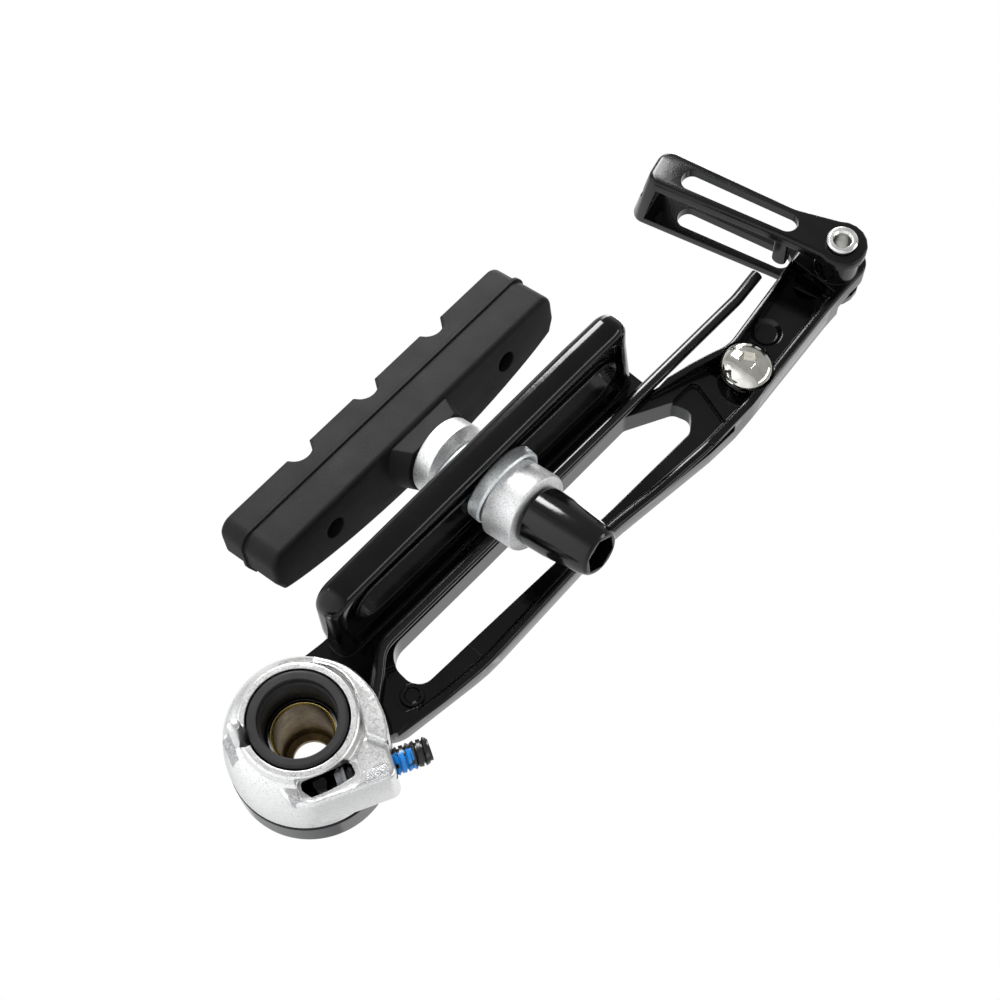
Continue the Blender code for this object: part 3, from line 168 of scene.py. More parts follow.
# Arm: a cast plate with a window, rims, a channel in its upper part and a tongue
WEB_BACK_Y = -0.0129
WEB_FRONT_Y = -0.0175
UPPER_FRONT_Y = -0.0155
RIM_BACK_Y = -0.0098
RIM_WIDTH = 0.0010
RECESS_DEPTH = 0.0010
POCKET_DEPTH = 0.00106
EJECTOR_BOSS = (-0.00493, 0.0153)       # small round boss in the lower pocket, at (x, z)
EJECTOR_PLACES = ((-0.0030, 0.1027), (-0.0035, 0.0923))    # round marks in the channel, at (x, z)
EJECTOR_DEPTH = 0.0005
ARM_BEAD_RADIUS = 0.0008                # round bead up the outer edge
ARM_BEAD_PLACES = (                     # outer side of the bead, at (x, z)
    (-0.0078, 0.0100), (-0.0090, 0.0180), (-0.0097, 0.0258), (-0.0086, 0.0527), (-0.0096, 0.0620),
    (-0.0105, 0.0720), (-0.0107, 0.0810), (-0.0087, 0.1000), (-0.0084, 0.1045),
)
EDGE_ROUND = 0.0005
SLOPE_START_Z = 0.0660
SLOPE_END_Z = 0.0860
TONGUE_BACK_Y = -0.0053
TONGUE_FRONT_Y = -0.0134
TONGUE_RADIUS = 0.0033

# Slot wall that carries the pad
WALL_NUT_X = 0.0052
WALL_PAD_X = 0.0097
WALL_FIELD_X = 0.0067           # floor of the field round the slot
SEAT_X = 0.0060                 # crest of the bead the washer sits on
WALL_ROUND = 0.0019
SLOT_Y = -0.00475
SLOT_LOW_Z = 0.0208
SLOT_HIGH_Z = 0.0647
SLOT_RADIUS = 0.00385
BEAD_WIDTH = 0.0008

# Spring stop screw
STOP_X = -0.00597
STOP_Z = 0.08458
STOP_HEAD_RADIUS = 0.00395
STOP_HEAD_BACK_Y = -0.0078
STOP_HEAD_HEIGHT = 0.0028
STOP_HEX = 0.0025
STOP_SHANK_RADIUS = 0.00195

# Link and its rivet
RIVET_X = -0.0047
RIVET_Z = 0.1066
RIVET_RADIUS = 0.0018
RIVET_HEAD_RADIUS = 0.0023
RIVET_BORE_RADIUS = 0.0012
LINK_TILT = math.radians(14.8)
LINK_BACK_Y = -0.0032
LINK_PLATE = 0.0018
LINK_FRONT_Y = -0.0155
LINK_LENGTH = 0.0308
LINK_SLANT = 0.16               # the end wall leans outwards, away from the bush
LINK_HALF_WIDTH = 0.00275
LINK_MIDDLE = -0.00055
LINK_EYE_RADIUS = 0.0039
LINK_SLOT_NEAR = 0.0070
LINK_SLOT_FAR = 0.0260
LINK_SLOT_RADIUS = 0.00165
LINK_HOLE_RADIUS = 0.0020
LINK_ROOM_LOW = -0.0043
FLARE_START = 0.0120            # along the link, where it begins to widen
FLARE_WIDTH = 0.00065           # more on each side at its end
FLARE_LENGTH = 0.0010           # more beyond its slots

# Pad post: it crosses the wall at POST and is tilted by the dome washers
POST = (0.00598, -0.00441, 0.04324)
TOE = math.radians(11.2)
RISE = math.radians(4.5)
LEAN = math.radians(5.2)
STUD_RADIUS = 0.0030
WASHER_RADIUS = 0.0060
WASHER_HOLE_RADIUS = 0.0033
CUP_RADIUS = 0.0062
CUP_HOLE_RADIUS = 0.0050
SEAT_RADIUS = 0.0080            # sphere of the dome washers
SEAT_HEIGHT = 0.00806           # from the flat of a cup washer to the sphere's centre
NUT_DOME_BACK = 0.0082          # from the post's zero to the back of the nut's dome washer
PAD_DOME_BACK = 0.0100
NUT_LENGTH = 0.0111
NUT_BASE_RADIUS = 0.00455
NUT_TIP_RADIUS = 0.00375
NUT_HEX = 0.0050
NUT_HEX_DEPTH = 0.0050

# Pad: its places are counted from the post's axis, across it and along the pad
PAD_BOSS_HEIGHT = 0.0030
PAD_THICKNESS = 0.0108
PAD_LOW = -0.0302
PAD_HIGH = 0.0296
PAD_NEAR = 0.0050
PAD_FAR = -0.0066
PAD_END_FAR = -0.0028
PAD_RIDGE = 0.0003
PAD_RIDGE_PLACE = 0.0062
PAD_NOTCH_RADIUS = 0.0024
PAD_NOTCH_PLACES = (-0.0138, 0.0, 0.0144)
PIN_HOLE_RADIUS = 0.0017
PIN_HOLE_PLACES = (-0.0185, 0.0185)
INSERT_HALF_LENGTH = 0.0235
INSERT_HALF_WIDTH = 0.0032
INSERT_THICKNESS = 0.0016
INSERT_DEPTH = 0.0030

# Turns and planes
AXIS_Y = Matrix.Rotation(-math.pi / 2, 4, "X")      # a turned shape's height becomes y
FRONTWARDS = Matrix.Rotation(math.pi / 2, 4, "X")   # a turned shape's height becomes -y
ALONG_X = Matrix.Rotation(math.pi / 2, 4, "Y")      # a turned shape's height becomes x
UPRIGHT_YZ = Matrix(((0, 0, 1), (1, 0, 0), (0, 1, 0))).to_4x4()     # an outline stands in (y, z)

# Cutters reach this far past a face that they open
TINY = 0.0001
OUTSIDE = 0.03                  # well past the arm on every side
PAST_WEB = 0.019                # past the arm's front, along -y

# Making of the finished pieces
FINE = 128                      # steps round a turned piece
SMOOTH_ANGLE = math.radians(28)

WORKSHOP = bpy.data.collections.new("workshop")
CUTTERS = bpy.data.collections.new("workshop_cutters")
bpy.context.scene.collection.children.link(WORKSHOP)
bpy.context.scene.collection.children.link(CUTTERS)


def arc_path(points, radii, closed, step=math.radians(6)):
    """A path through the points, with an arc of the given radius at each corner."""
    path = []
    last = len(points) - 1
    for index, here in enumerate(points):
        if not closed and index in (0, last):
            path.append(here)
            continue
        back = points[index - 1] - here
        ahead = points[(index + 1) % len(points)] - here
        turn = math.pi - back.angle(ahead)
        if radii[index] == 0 or turn < 0.02:
            path.append(here)
            continue
        slope = math.tan(turn / 2)
        reach = min(radii[index] * slope, 0.49 * back.length, 0.49 * ahead.length)
        radius = reach / slope
        inward = (back.normalized() + ahead.normalized()).normalized()
        centre = here + inward * (radius / math.cos(turn / 2))
        spoke = here + back.normalized() * reach - centre
        axis = ahead.cross(back).normalized()
        count = max(2, round(turn / step))
        for part in range(count + 1):
            path.append(centre + Matrix.Rotation(turn * part / count, 3, axis) @ spoke)
    return path


def outline(corners, step=math.radians(6)):
    """A closed flat outline from corners (x, y, radius)."""
    points = [Vector((x, y, 0)) for x, y, radius in corners]
    return arc_path(points, [radius for x, y, radius in corners], True, step)


def stadium(start_point, end_point, radius, steps=24):
    """A closed outline with two straight sides and two round ends."""
    first = Vector((*start_point, 0))
    second = Vector((*end_point, 0))
    along = (second - first).normalized()
    heading = math.atan2(along.y, along.x)
    points = []
    for middle, begin in ((second, heading - math.pi / 2), (first, heading + math.pi / 2)):
        for part in range(steps + 1):
            angle = begin + math.pi * part / steps
            points.append(middle + radius * Vector((math.cos(angle), math.sin(angle), 0)))
    return points


def arm_plane(back_y, front_y, place=None):
    """Frame for an outline in (x, z): its thickness lies between two heights y."""
    middle = Matrix.Translation((0, (back_y + front_y) / 2, 0))
    return (place or Matrix.Identity(4)) @ middle @ FRONTWARDS


def wall_plane(low_x, high_x):
    """Frame for an outline in (y, z): its thickness lies between two places x."""
    return Matrix.Translation(((low_x + high_x) / 2, 0, 0)) @ UPRIGHT_YZ


def link_place():
    """Frame of the link: the origin on the rivet's axis, +X along the link."""
    return Matrix.Translation((RIVET_X, 0, RIVET_Z)) @ Matrix.Rotation(LINK_TILT, 4, "Y")


def post_place():
    """Frame of the pad's post: the origin where it crosses the wall, +X to the pad."""
    post = Vector((math.cos(TOE) * math.cos(RISE), -math.sin(TOE) * math.cos(RISE),
                   -math.sin(RISE)))
    up = Vector((0, -math.sin(LEAN), math.cos(LEAN)))
    up = (up - up.dot(post) * post).normalized()
    side = up.cross(post)
    columns = Matrix((post, side, up)).transposed().to_4x4()
    return Matrix.Translation(POST) @ columns


POST_PLACE = post_place()


def finish(name, mesh, place, collection=None):
    """Link an object that holds the mesh; a cutter is kept out of the parts."""
    made = bpy.data.objects.new(name, mesh)
    made.matrix_world = place
    (collection or WORKSHOP).objects.link(made)
    if collection is CUTTERS:
        made.hide_render = True
        made.display_type = "WIRE"
    return made


def curve_to_mesh(curve_object, collection):
    """Turn a curve into a closed mesh and remove the curve."""
    bpy.context.view_layer.update()
    solved = curve_object.evaluated_get(bpy.context.evaluated_depsgraph_get())
    mesh = bpy.data.meshes.new_from_object(solved)
    name = curve_object.name
    place = curve_object.matrix_world.copy()
    bpy.data.objects.remove(curve_object)
    shell = bmesh.new()
    shell.from_mesh(mesh)
    bmesh.ops.remove_doubles(shell, verts=shell.verts, dist=1e-6)
    bmesh.ops.recalc_face_normals(shell, faces=shell.faces)
    shell.to_mesh(mesh)
    shell.free()
    mesh.name = name
    return finish(name, mesh, place, collection)


def plate(name, outlines, thickness, place, rounding=0.0, collection=None, steps=3):
    """A flat piece with the outlines, the first one outside, and rounded edges."""
    curve = bpy.data.curves.new(name, "CURVE")
    curve.dimensions = "2D"
    curve.fill_mode = "BOTH"
    curve.extrude = thickness / 2 - rounding
    curve.bevel_depth = rounding
    curve.bevel_resolution = steps
    curve.offset = -rounding
    for points in outlines:
        spline = curve.splines.new("POLY")
        spline.points.add(len(points) - 1)
        for spot, point in zip(spline.points, points):
            spot.co = (point.x, point.y, 0, 1)
        spline.use_cyclic_u = True
    drawn = bpy.data.objects.new(name, curve)
    drawn.matrix_world = place
    (collection or WORKSHOP).objects.link(drawn)
    return curve_to_mesh(drawn, collection)


def wire(name, points, radius, collection=None):
    """A round wire along the points, with closed ends."""
    curve = bpy.data.curves.new(name, "CURVE")
    curve.dimensions = "3D"
    curve.bevel_depth = radius
    curve.bevel_resolution = 6
    curve.use_fill_caps = True
    spline = curve.splines.new("POLY")
    spline.points.add(len(points) - 1)
    for spot, point in zip(spline.points, points):
        spot.co = (*point, 1)
    drawn = bpy.data.objects.new(name, curve)
    (collection or WORKSHOP).objects.link(drawn)
    return curve_to_mesh(drawn, collection)


def turned(name, profile, place, steps=48, closed=False, collection=None):
    """A turned piece: its profile (radius, height) runs down the outer side."""
    mesh = bpy.data.meshes.new(name)
    edges = [(spot, spot + 1) for spot in range(len(profile) - 1)]
    if closed:
        edges.append((len(profile) - 1, 0))
    mesh.from_pydata([(radius, 0, height) for radius, height in profile], edges, [])
    made = finish(name, mesh, place, collection)
    screw = made.modifiers.new("turned", "SCREW")
    screw.axis = "Z"
    screw.steps = steps
    screw.render_steps = steps
    screw.use_merge_vertices = True
    screw.merge_threshold = 1e-6
    return made


def rod(name, radius, low, high, place, steps):
    """A plain turned rod between two heights, used as a cutter or joined to a piece."""
    profile = [(0, high), (radius, high), (radius, low), (0, low)]
    return turned(name, profile, place, steps, collection=CUTTERS)


def box(name, low, high, place=None):
    """A cutter with square corners between two points."""
    mesh = bpy.data.meshes.new(name)
    shape = bmesh.new()
    bmesh.ops.create_cube(shape, size=1.0)
    size = [b - a for a, b in zip(low, high)]
    middle = [(a + b) / 2 for a, b in zip(low, high)]
    bmesh.ops.scale(shape, vec=size, verts=shape.verts)
    bmesh.ops.translate(shape, vec=middle, verts=shape.verts)
    shape.to_mesh(mesh)
    shape.free()
    return finish(name, mesh, place or Matrix.Identity(4), CUTTERS)


def hex_socket(name, width, depth, mouth):
    """A cutter for a hexagon socket by its width across flats, with the frame at its mouth."""
    corner = width / math.sqrt(3)
    turns = [math.pi / 6 + math.pi / 3 * side for side in range(6)]
    hexagon = [Vector((corner * math.cos(a), corner * math.sin(a), 0)) for a in turns]
    return plate(name, [hexagon], 2 * depth, mouth, 0, CUTTERS)


def boolean(piece, tool, operation):
    """Cut the tool from the piece, or join it to the piece."""
    change = piece.modifiers.new(tool.name, "BOOLEAN")
    change.operation = operation
    change.object = tool


def cut(piece, *tools):
    """Cut the tools from the piece, one after another."""
    for tool in tools:
        boolean(piece, tool, "DIFFERENCE")


def join(piece, *tools):
    """Join the tools to the piece, one after another."""
    for tool in tools:
        boolean(piece, tool, "UNION")


ALONG_SCREW = Vector((-math.sin(SCREW_LEAN), 0, math.cos(SCREW_LEAN)))
BESIDE_SCREW = Vector((-math.cos(SCREW_LEAN), 0, -math.sin(SCREW_LEAN)))


def beside(along, aside):
    """Point (x, z) given along the tension screw and aside from the pivot."""
    spot = ALONG_SCREW * along + BESIDE_SCREW * aside
    return spot.x, spot.z


def screw_place():
    """Frame of the tension screw: +Z along the screw, from the foot of the pivot's normal."""
    foot = BESIDE_SCREW * SCREW_OFFSET + Vector((0, SCREW_Y, 0))
    return Matrix.Translation(foot) @ Matrix.Rotation(-SCREW_LEAN, 4, "Y")


def polar(radius, degrees):
    """Point (x, z) at an angle from +X towards +Z."""
    angle = math.radians(degrees)
    return radius * math.cos(angle), radius * math.sin(angle)


def sector(inner, outer, start_degrees, end_degrees, steps):
    """A ring sector as an outline in (x, z)."""
    turn = end_degrees - start_degrees
    span = [start_degrees + turn * part / steps for part in range(steps + 1)]
    rim = [Vector((*polar(outer, angle), 0)) for angle in span]
    return rim + [Vector((*polar(inner, angle), 0)) for angle in reversed(span)]


def make_collar():
    """Plastic ring in the housing's bore that seats on the fork boss."""
    flange = -0.0008
    step = -0.0013
    chamfer = 0.0003
    profile = [
        (COLLAR_MOUTH_RADIUS, 0),
        (COLLAR_RADIUS - chamfer, 0),
        (COLLAR_RADIUS, -chamfer),
        (COLLAR_RADIUS, flange),
        (COLLAR_BODY_RADIUS, flange - chamfer),
        (COLLAR_BODY_RADIUS, COLLAR_FOOT_Y),
        (COLLAR_BORE_RADIUS, COLLAR_FOOT_Y),
        (COLLAR_BORE_RADIUS, step - chamfer),
        (COLLAR_MOUTH_RADIUS, step),
    ]
    return turned("hub_collar", profile, AXIS_Y, FINE, closed=True)


def make_tension_screw():
    """Grub screw with a hex socket in its outer end and a cup tip."""
    tip = SCREW_START
    end = SCREW_START + SCREW_LENGTH
    chamfer = 0.0004
    profile = [
        (0, end),
        (SCREW_RADIUS - chamfer, end),
        (SCREW_RADIUS, end - chamfer),
        (SCREW_RADIUS, tip + chamfer),
        (SCREW_RADIUS - 0.0007, tip),
        (SCREW_RADIUS - 0.0011, tip),
        (0, tip + 0.0005),
    ]
    screw = turned("tension_screw", profile, screw_place(), 24)
    socket_depth = 0.0022
    socket_place = screw_place() @ Matrix.Translation((0, 0, end))
    cut(screw, hex_socket("tension_socket", SCREW_HEX, socket_depth, socket_place))
    return screw


def make_spring():
    """Coil in the housing with a long leg up the arm and a hook at the screw's tip."""
    points = []
    steps = 30
    hook = COIL_LEAVES + COIL_TURNS * math.tau
    for part in range(steps + 1):
        angle = hook + (COIL_LEAVES - hook) * part / steps
        height = LEG_Y + COIL_PITCH * COIL_TURNS * (1 - part / steps)
        x, z = COIL_RADIUS * math.cos(angle), COIL_RADIUS * math.sin(angle)
        points.append(Vector((x, height, z)))
    leaves = points[-1]
    bend = points[0]
    hook_path = arc_path([Vector((bend.x, SPRING_HOOK_Y, bend.z)), bend, points[2]],
                         [0, HOOK_BEND, 0], False)
    heading = Vector((math.sin(COIL_LEAVES), 0, -math.cos(COIL_LEAVES)))
    rise = leaves + heading * LEG_RISE
    leg_corners = [leaves, rise]
    leg_corners += [Vector((x, LEG_Y, z)) for x, z in (LEG_FOOT, LEG_BEND, LEG_TIP)]
    leg = arc_path(leg_corners, LEG_BENDS, False, math.radians(9))
    return wire("return_spring", hook_path[:-1] + points[2:-1] + leg, WIRE_RADIUS)


def upper_edge(inset=0.0):
    """Wheel side of the upper arm, from the head to the top, as corners (x, z, radius)."""
    return [
        (0.0024 - inset, 0.0734 - inset, 0.0006),
        (0.0006 - inset, 0.0795, 0.010),
        (-0.0016 - inset, 0.0855, 0.006),
        (0.00135 - inset, 0.1052, 0.0),
    ]


def outer_edge(inset=0.0):
    """Outer side of the arm from the top down, as corners (x, z, radius)."""
    return [
        (-0.0084 + inset, 0.1050, 0.01),
        (-0.0087 + inset, 0.1000, 0.01),
        (-0.0107 + inset, 0.0810, 0.01),
        (-0.0105 + inset, 0.0720, 0.01),
        (-0.0086 + inset, 0.0527, 0.03),
        (-0.0097 + inset, 0.0258, 0.03),
    ]


def arm_outline():
    """Whole arm seen along the pivot axis, from the hub up the wheel side and back down."""
    wheel_side = WALL_PAD_X - 0.00005
    corners = [
        (-0.0060, -0.0010, 0.0),
        (0.0100, -0.0010, 0.0),
        (0.0108, 0.0020, 0.0),
        (wheel_side, 0.0120, 0.010),
        (wheel_side, 0.0733, 0.0006),
        *upper_edge(),
        (0.0022, 0.1110, 0.0050),
        (-0.0082, 0.1115, 0.0048),
        *outer_edge(),
        (-0.0078, 0.0105, 0.01),
        (-0.0065, 0.0085, 0.0),
    ]
    return outline(corners)


def arm_tools_across(name, corners, low_x, high_x):
    """A cutter whose outline (y, z) runs across the arm from low_x to high_x."""
    return plate(name, [outline(corners)], high_x - low_x, wall_plane(low_x, high_x), 0, CUTTERS)


def arm_tools_down(name, outlines, back_y, front_y):
    """A cutter whose outline (x, z) runs along the pivot axis."""
    return plate(name, outlines, back_y - front_y, arm_plane(back_y, front_y), 0, CUTTERS)


def make_arm():
    """Cast arm: hub, web with a window, slot wall, rimmed channel and tongue."""
    arm = plate("brake_arm", [arm_outline()], RIM_BACK_Y - WEB_FRONT_Y,
                arm_plane(RIM_BACK_Y, WEB_FRONT_Y), EDGE_ROUND)
    rivet_place = Matrix.Translation((RIVET_X, 0, RIVET_Z)) @ FRONTWARDS
    stop_place = Matrix.Translation((STOP_X, 0, STOP_Z)) @ FRONTWARDS

    slope = arm_tools_across("arm_slope", [
        (WEB_BACK_Y, -OUTSIDE, 0.0),
        (WEB_BACK_Y, SLOPE_START_Z, 0.006),
        (RIM_BACK_Y + TINY, SLOPE_END_Z, 0.0),
        (OUTSIDE, SLOPE_END_Z, 0.0),
        (OUTSIDE, -OUTSIDE, 0.0),
    ], -OUTSIDE, OUTSIDE)
    leg_way = box("arm_leg_way", (0.0017, WEB_BACK_Y, 0.050), (0.02, 0.01, 0.0760))
    front_step = arm_tools_across("arm_front_step", [
        (UPPER_FRONT_Y, 0.0810, 0.004),
        (WEB_FRONT_Y - 0.001, 0.0740, 0.0),
        (WEB_FRONT_Y - 0.001, 0.12, 0.0),
        (UPPER_FRONT_Y, 0.12, 0.0),
    ], -OUTSIDE, OUTSIDE)
    channel_corners = [
        (0.0017, 0.0600, 0.0),
        (0.0017, 0.0722, 0.0),
        *upper_edge(RIM_WIDTH)[1:],
        (0.0006, 0.1030, 0.0),
        (-0.0074, 0.1030, 0.0),
        *outer_edge(RIM_WIDTH)[1:4],
        (outer_edge(RIM_WIDTH)[3][0], 0.0600, 0.0),
    ]
    channel_corners.remove(upper_edge(RIM_WIDTH)[3])
    channel = arm_tools_down("arm_channel", [outline(channel_corners)], RIM_BACK_Y + 0.001,
                             WEB_BACK_Y)
    hub_room = rod("arm_hub_room", HUB_RADIUS + 0.0003, HUB_BACK_Y, 0.0, AXIS_Y, FINE)
    cut(arm, slope, leg_way, front_step, channel, hub_room)

    hub_edge = 0.0006
    spigot_end = COLLAR_FOOT_Y - GAP
    hub_profile = [
        (0, spigot_end),
        (SPIGOT_RADIUS, spigot_end),
        (SPIGOT_RADIUS, HUB_BACK_Y),
        (HUB_RADIUS - hub_edge, HUB_BACK_Y),
        (HUB_RADIUS, HUB_BACK_Y - hub_edge),
        (HUB_RADIUS, HUB_FRONT_Y + hub_edge),
        (HUB_RADIUS - hub_edge, HUB_FRONT_Y),
        (0, HUB_FRONT_Y),
    ]
    hub = turned("arm_hub", hub_profile, AXIS_Y, FINE, collection=CUTTERS)
    wall_corners = [
        (-0.0156, 0.0125, 0.0),
        (-0.0056, 0.0119, 0.010),
        (0.0050, 0.0120, 0.0065),
        (0.0054, 0.0190, 0.010),
        (0.0077, 0.0620, 0.006),
        (0.0078, 0.0708, 0.0045),
        (0.0015, 0.0711, 0.010),
        (-0.0073, 0.0721, 0.010),
        (-0.0156, 0.0731, 0.0),
    ]
    wall = plate("arm_wall", [outline(wall_corners)], WALL_PAD_X - WALL_NUT_X,
                 wall_plane(WALL_NUT_X, WALL_PAD_X), WALL_ROUND, CUTTERS, 7)
    tongue = rod("arm_tongue", TONGUE_RADIUS, -TONGUE_BACK_Y, -(WEB_BACK_Y - 0.0002),
                 rivet_place, 72)
    join(arm, hub, wall, tongue)

    slot_ends = ((SLOT_Y, SLOT_LOW_Z), (SLOT_Y, SLOT_HIGH_Z))
    slot = plate("arm_slot", [stadium(*slot_ends, SLOT_RADIUS)], 0.0065,
                 wall_plane(WALL_NUT_X - 0.001, WALL_PAD_X + 0.001), 0, CUTTERS)
    bead = stadium(*slot_ends, SLOT_RADIUS + BEAD_WIDTH)
    field = outline([
        (-0.0122, 0.0142, 0.003),
        (0.0036, 0.0142, 0.004),
        (0.0040, 0.0250, 0.010),
        (0.0056, 0.0560, 0.010),
        (0.0058, 0.0688, 0.004),
        (-0.0122, 0.0704, 0.003),
    ])
    groove = plate("arm_field_floor", [field, bead], 0.0040,
                   wall_plane(WALL_FIELD_X - 0.0040, WALL_FIELD_X), 0, CUTTERS)
    seat_room = plate("arm_field_seat", [field], 0.0040, wall_plane(SEAT_X - 0.0040, SEAT_X), 0,
                      CUTTERS)
    window = arm_tools_down("arm_window", [outline([
        (0.00195, 0.0166, 0.0045),
        (0.0020, 0.0365, 0.010),
        (0.0024, 0.0672, 0.0016),
        (-0.0012, 0.0742, 0.0018),
        (-0.0040, 0.0751, 0.0016),
        (-0.00605, 0.0722, 0.0016),
        (-0.0060, 0.0557, 0.010),
        (-0.0050, 0.0164, 0.0026),
    ])], WEB_BACK_Y + 0.004, WEB_FRONT_Y - 0.0015)
    bar_floor = WEB_BACK_Y - RECESS_DEPTH
    recess = arm_tools_down("arm_recess", [outline([
        (-0.0049, 0.0180, 0.0),
        (-0.0066, 0.0180, 0.0),
        (-0.0076, 0.0105, 0.0),
        (-0.0125, 0.0100, 0.0),
        (-0.0125, 0.0770, 0.0),
        (-0.0084, 0.0770, 0.0),
        (-0.0010, 0.0790, 0.001),
        (-0.0008, 0.0735, 0.002),
        (-0.0050, 0.0720, 0.0),
    ])], WEB_BACK_Y + 0.0010, bar_floor)
    pocket = arm_tools_down("arm_pocket", [outline([
        (0.0004, 0.0150, 0.0006),
        (-0.0058, 0.0124, 0.0010),
        (-0.0070, 0.0150, 0.010),
        (-0.0078, 0.0262, 0.0),
        (-0.0053, 0.0262, 0.0),
        (-0.0049, 0.0185, 0.0),
        (-0.0006, 0.0175, 0.0),
    ])], WEB_BACK_Y + 0.0008, WEB_BACK_Y - POCKET_DEPTH)
    stop_pocket = arm_tools_down("arm_stop_pocket", [outline([
        (-0.0008, 0.0814, 0.0006),
        (-0.0026, 0.0856, 0.0020),
        (-0.0034, 0.0890, 0.0020),
        (-0.0086, 0.0895, 0.0020),
        (-0.0090, 0.0814, 0.0006),
    ])], WEB_BACK_Y + 0.0010, bar_floor)
    stop_hole = rod("arm_stop_hole", STOP_SHANK_RADIUS + RUN_GAP, 0.012, PAST_WEB, stop_place, 56)
    stop_head_room = rod("arm_stop_head_room", STOP_HEAD_RADIUS + GAP,
                         -(STOP_HEAD_BACK_Y + 0.003),
                         -(STOP_HEAD_BACK_Y - STOP_HEAD_HEIGHT - GAP), stop_place, 72)
    rivet_hole = rod("arm_rivet_hole", RIVET_RADIUS + RUN_GAP, 0.004, PAST_WEB, rivet_place, 56)
    bush_bore = rod("arm_bush_bore", BUSH_RADIUS + GAP, HUB_FRONT_Y - TINY, -0.004, AXIS_Y, FINE)
    link_room = box("arm_link_room", (-0.008, WEB_FRONT_Y - 0.001, LINK_ROOM_LOW),
                    (0.012, TONGUE_FRONT_Y, 0.012), link_place())
    cut(arm, slot, groove, seat_room, window, recess, pocket, stop_pocket, stop_hole, rivet_hole)
    cut(arm, stop_head_room, bush_bore, link_room)

    pocket_floor = WEB_BACK_Y - POCKET_DEPTH
    boss_profile = [
        (0, -(pocket_floor - 0.0004)),
        (0.0018, -(pocket_floor - 0.0004)),
        (0.0017, -(WEB_BACK_Y - 0.0003)),
        (0.0012, -(WEB_BACK_Y - 0.0003)),
        (0.0010, -(pocket_floor + 0.0003)),
        (0, -(pocket_floor + 0.0003)),
    ]
    boss_place = Matrix.Translation((EJECTOR_BOSS[0], 0, EJECTOR_BOSS[1])) @ FRONTWARDS
    boss = turned("arm_ejector_boss", boss_profile, boss_place, 48, collection=CUTTERS)
    join(arm, boss)
    return arm


def dome_profile(radius, height, foot, steps=12):
    """Rounded head: from the axis over the dome to its underside."""
    points = [(0, foot + height)]
    for part in range(1, steps + 1):
        angle = math.pi / 2 * part / steps
        level = foot + height * 0.15 + height * 0.85 * math.cos(angle)
        points.append((radius * math.sin(angle), level))
    points.append((radius, foot))
    return points


def make_stop_screw():
    """Button head screw whose head holds the spring's leg down."""
    foot = STOP_HEAD_BACK_Y - STOP_HEAD_HEIGHT
    end = UPPER_FRONT_Y + 0.0003
    profile = dome_profile(STOP_HEAD_RADIUS, STOP_HEAD_HEIGHT, foot)
    profile += [(STOP_SHANK_RADIUS, foot), (STOP_SHANK_RADIUS, end), (0, end)]
    place = Matrix.Translation((STOP_X, 0, STOP_Z))
    screw = turned("spring_stop_screw", profile, place @ AXIS_Y, 80)
    socket_depth = 0.0014
    socket_place = place @ Matrix.Translation((0, STOP_HEAD_BACK_Y, 0)) @ AXIS_Y
    cut(screw, hex_socket("stop_socket", STOP_HEX, socket_depth, socket_place))
    return screw


def slant_end(piece, place):
    """Lean the far end of a piece of the link, so that its end wall stands at a slant."""
    middle_y = (LINK_BACK_Y + LINK_FRONT_Y) / 2
    to_link = place.inverted() @ piece.matrix_basis
    to_piece = to_link.inverted()
    for vertex in piece.data.vertices:
        spot = to_link @ vertex.co
        if spot.x > LINK_LENGTH / 2:
            spot.x += LINK_SLANT * (middle_y - spot.y)
            vertex.co = to_piece @ spot
    piece.data.update()
    return piece


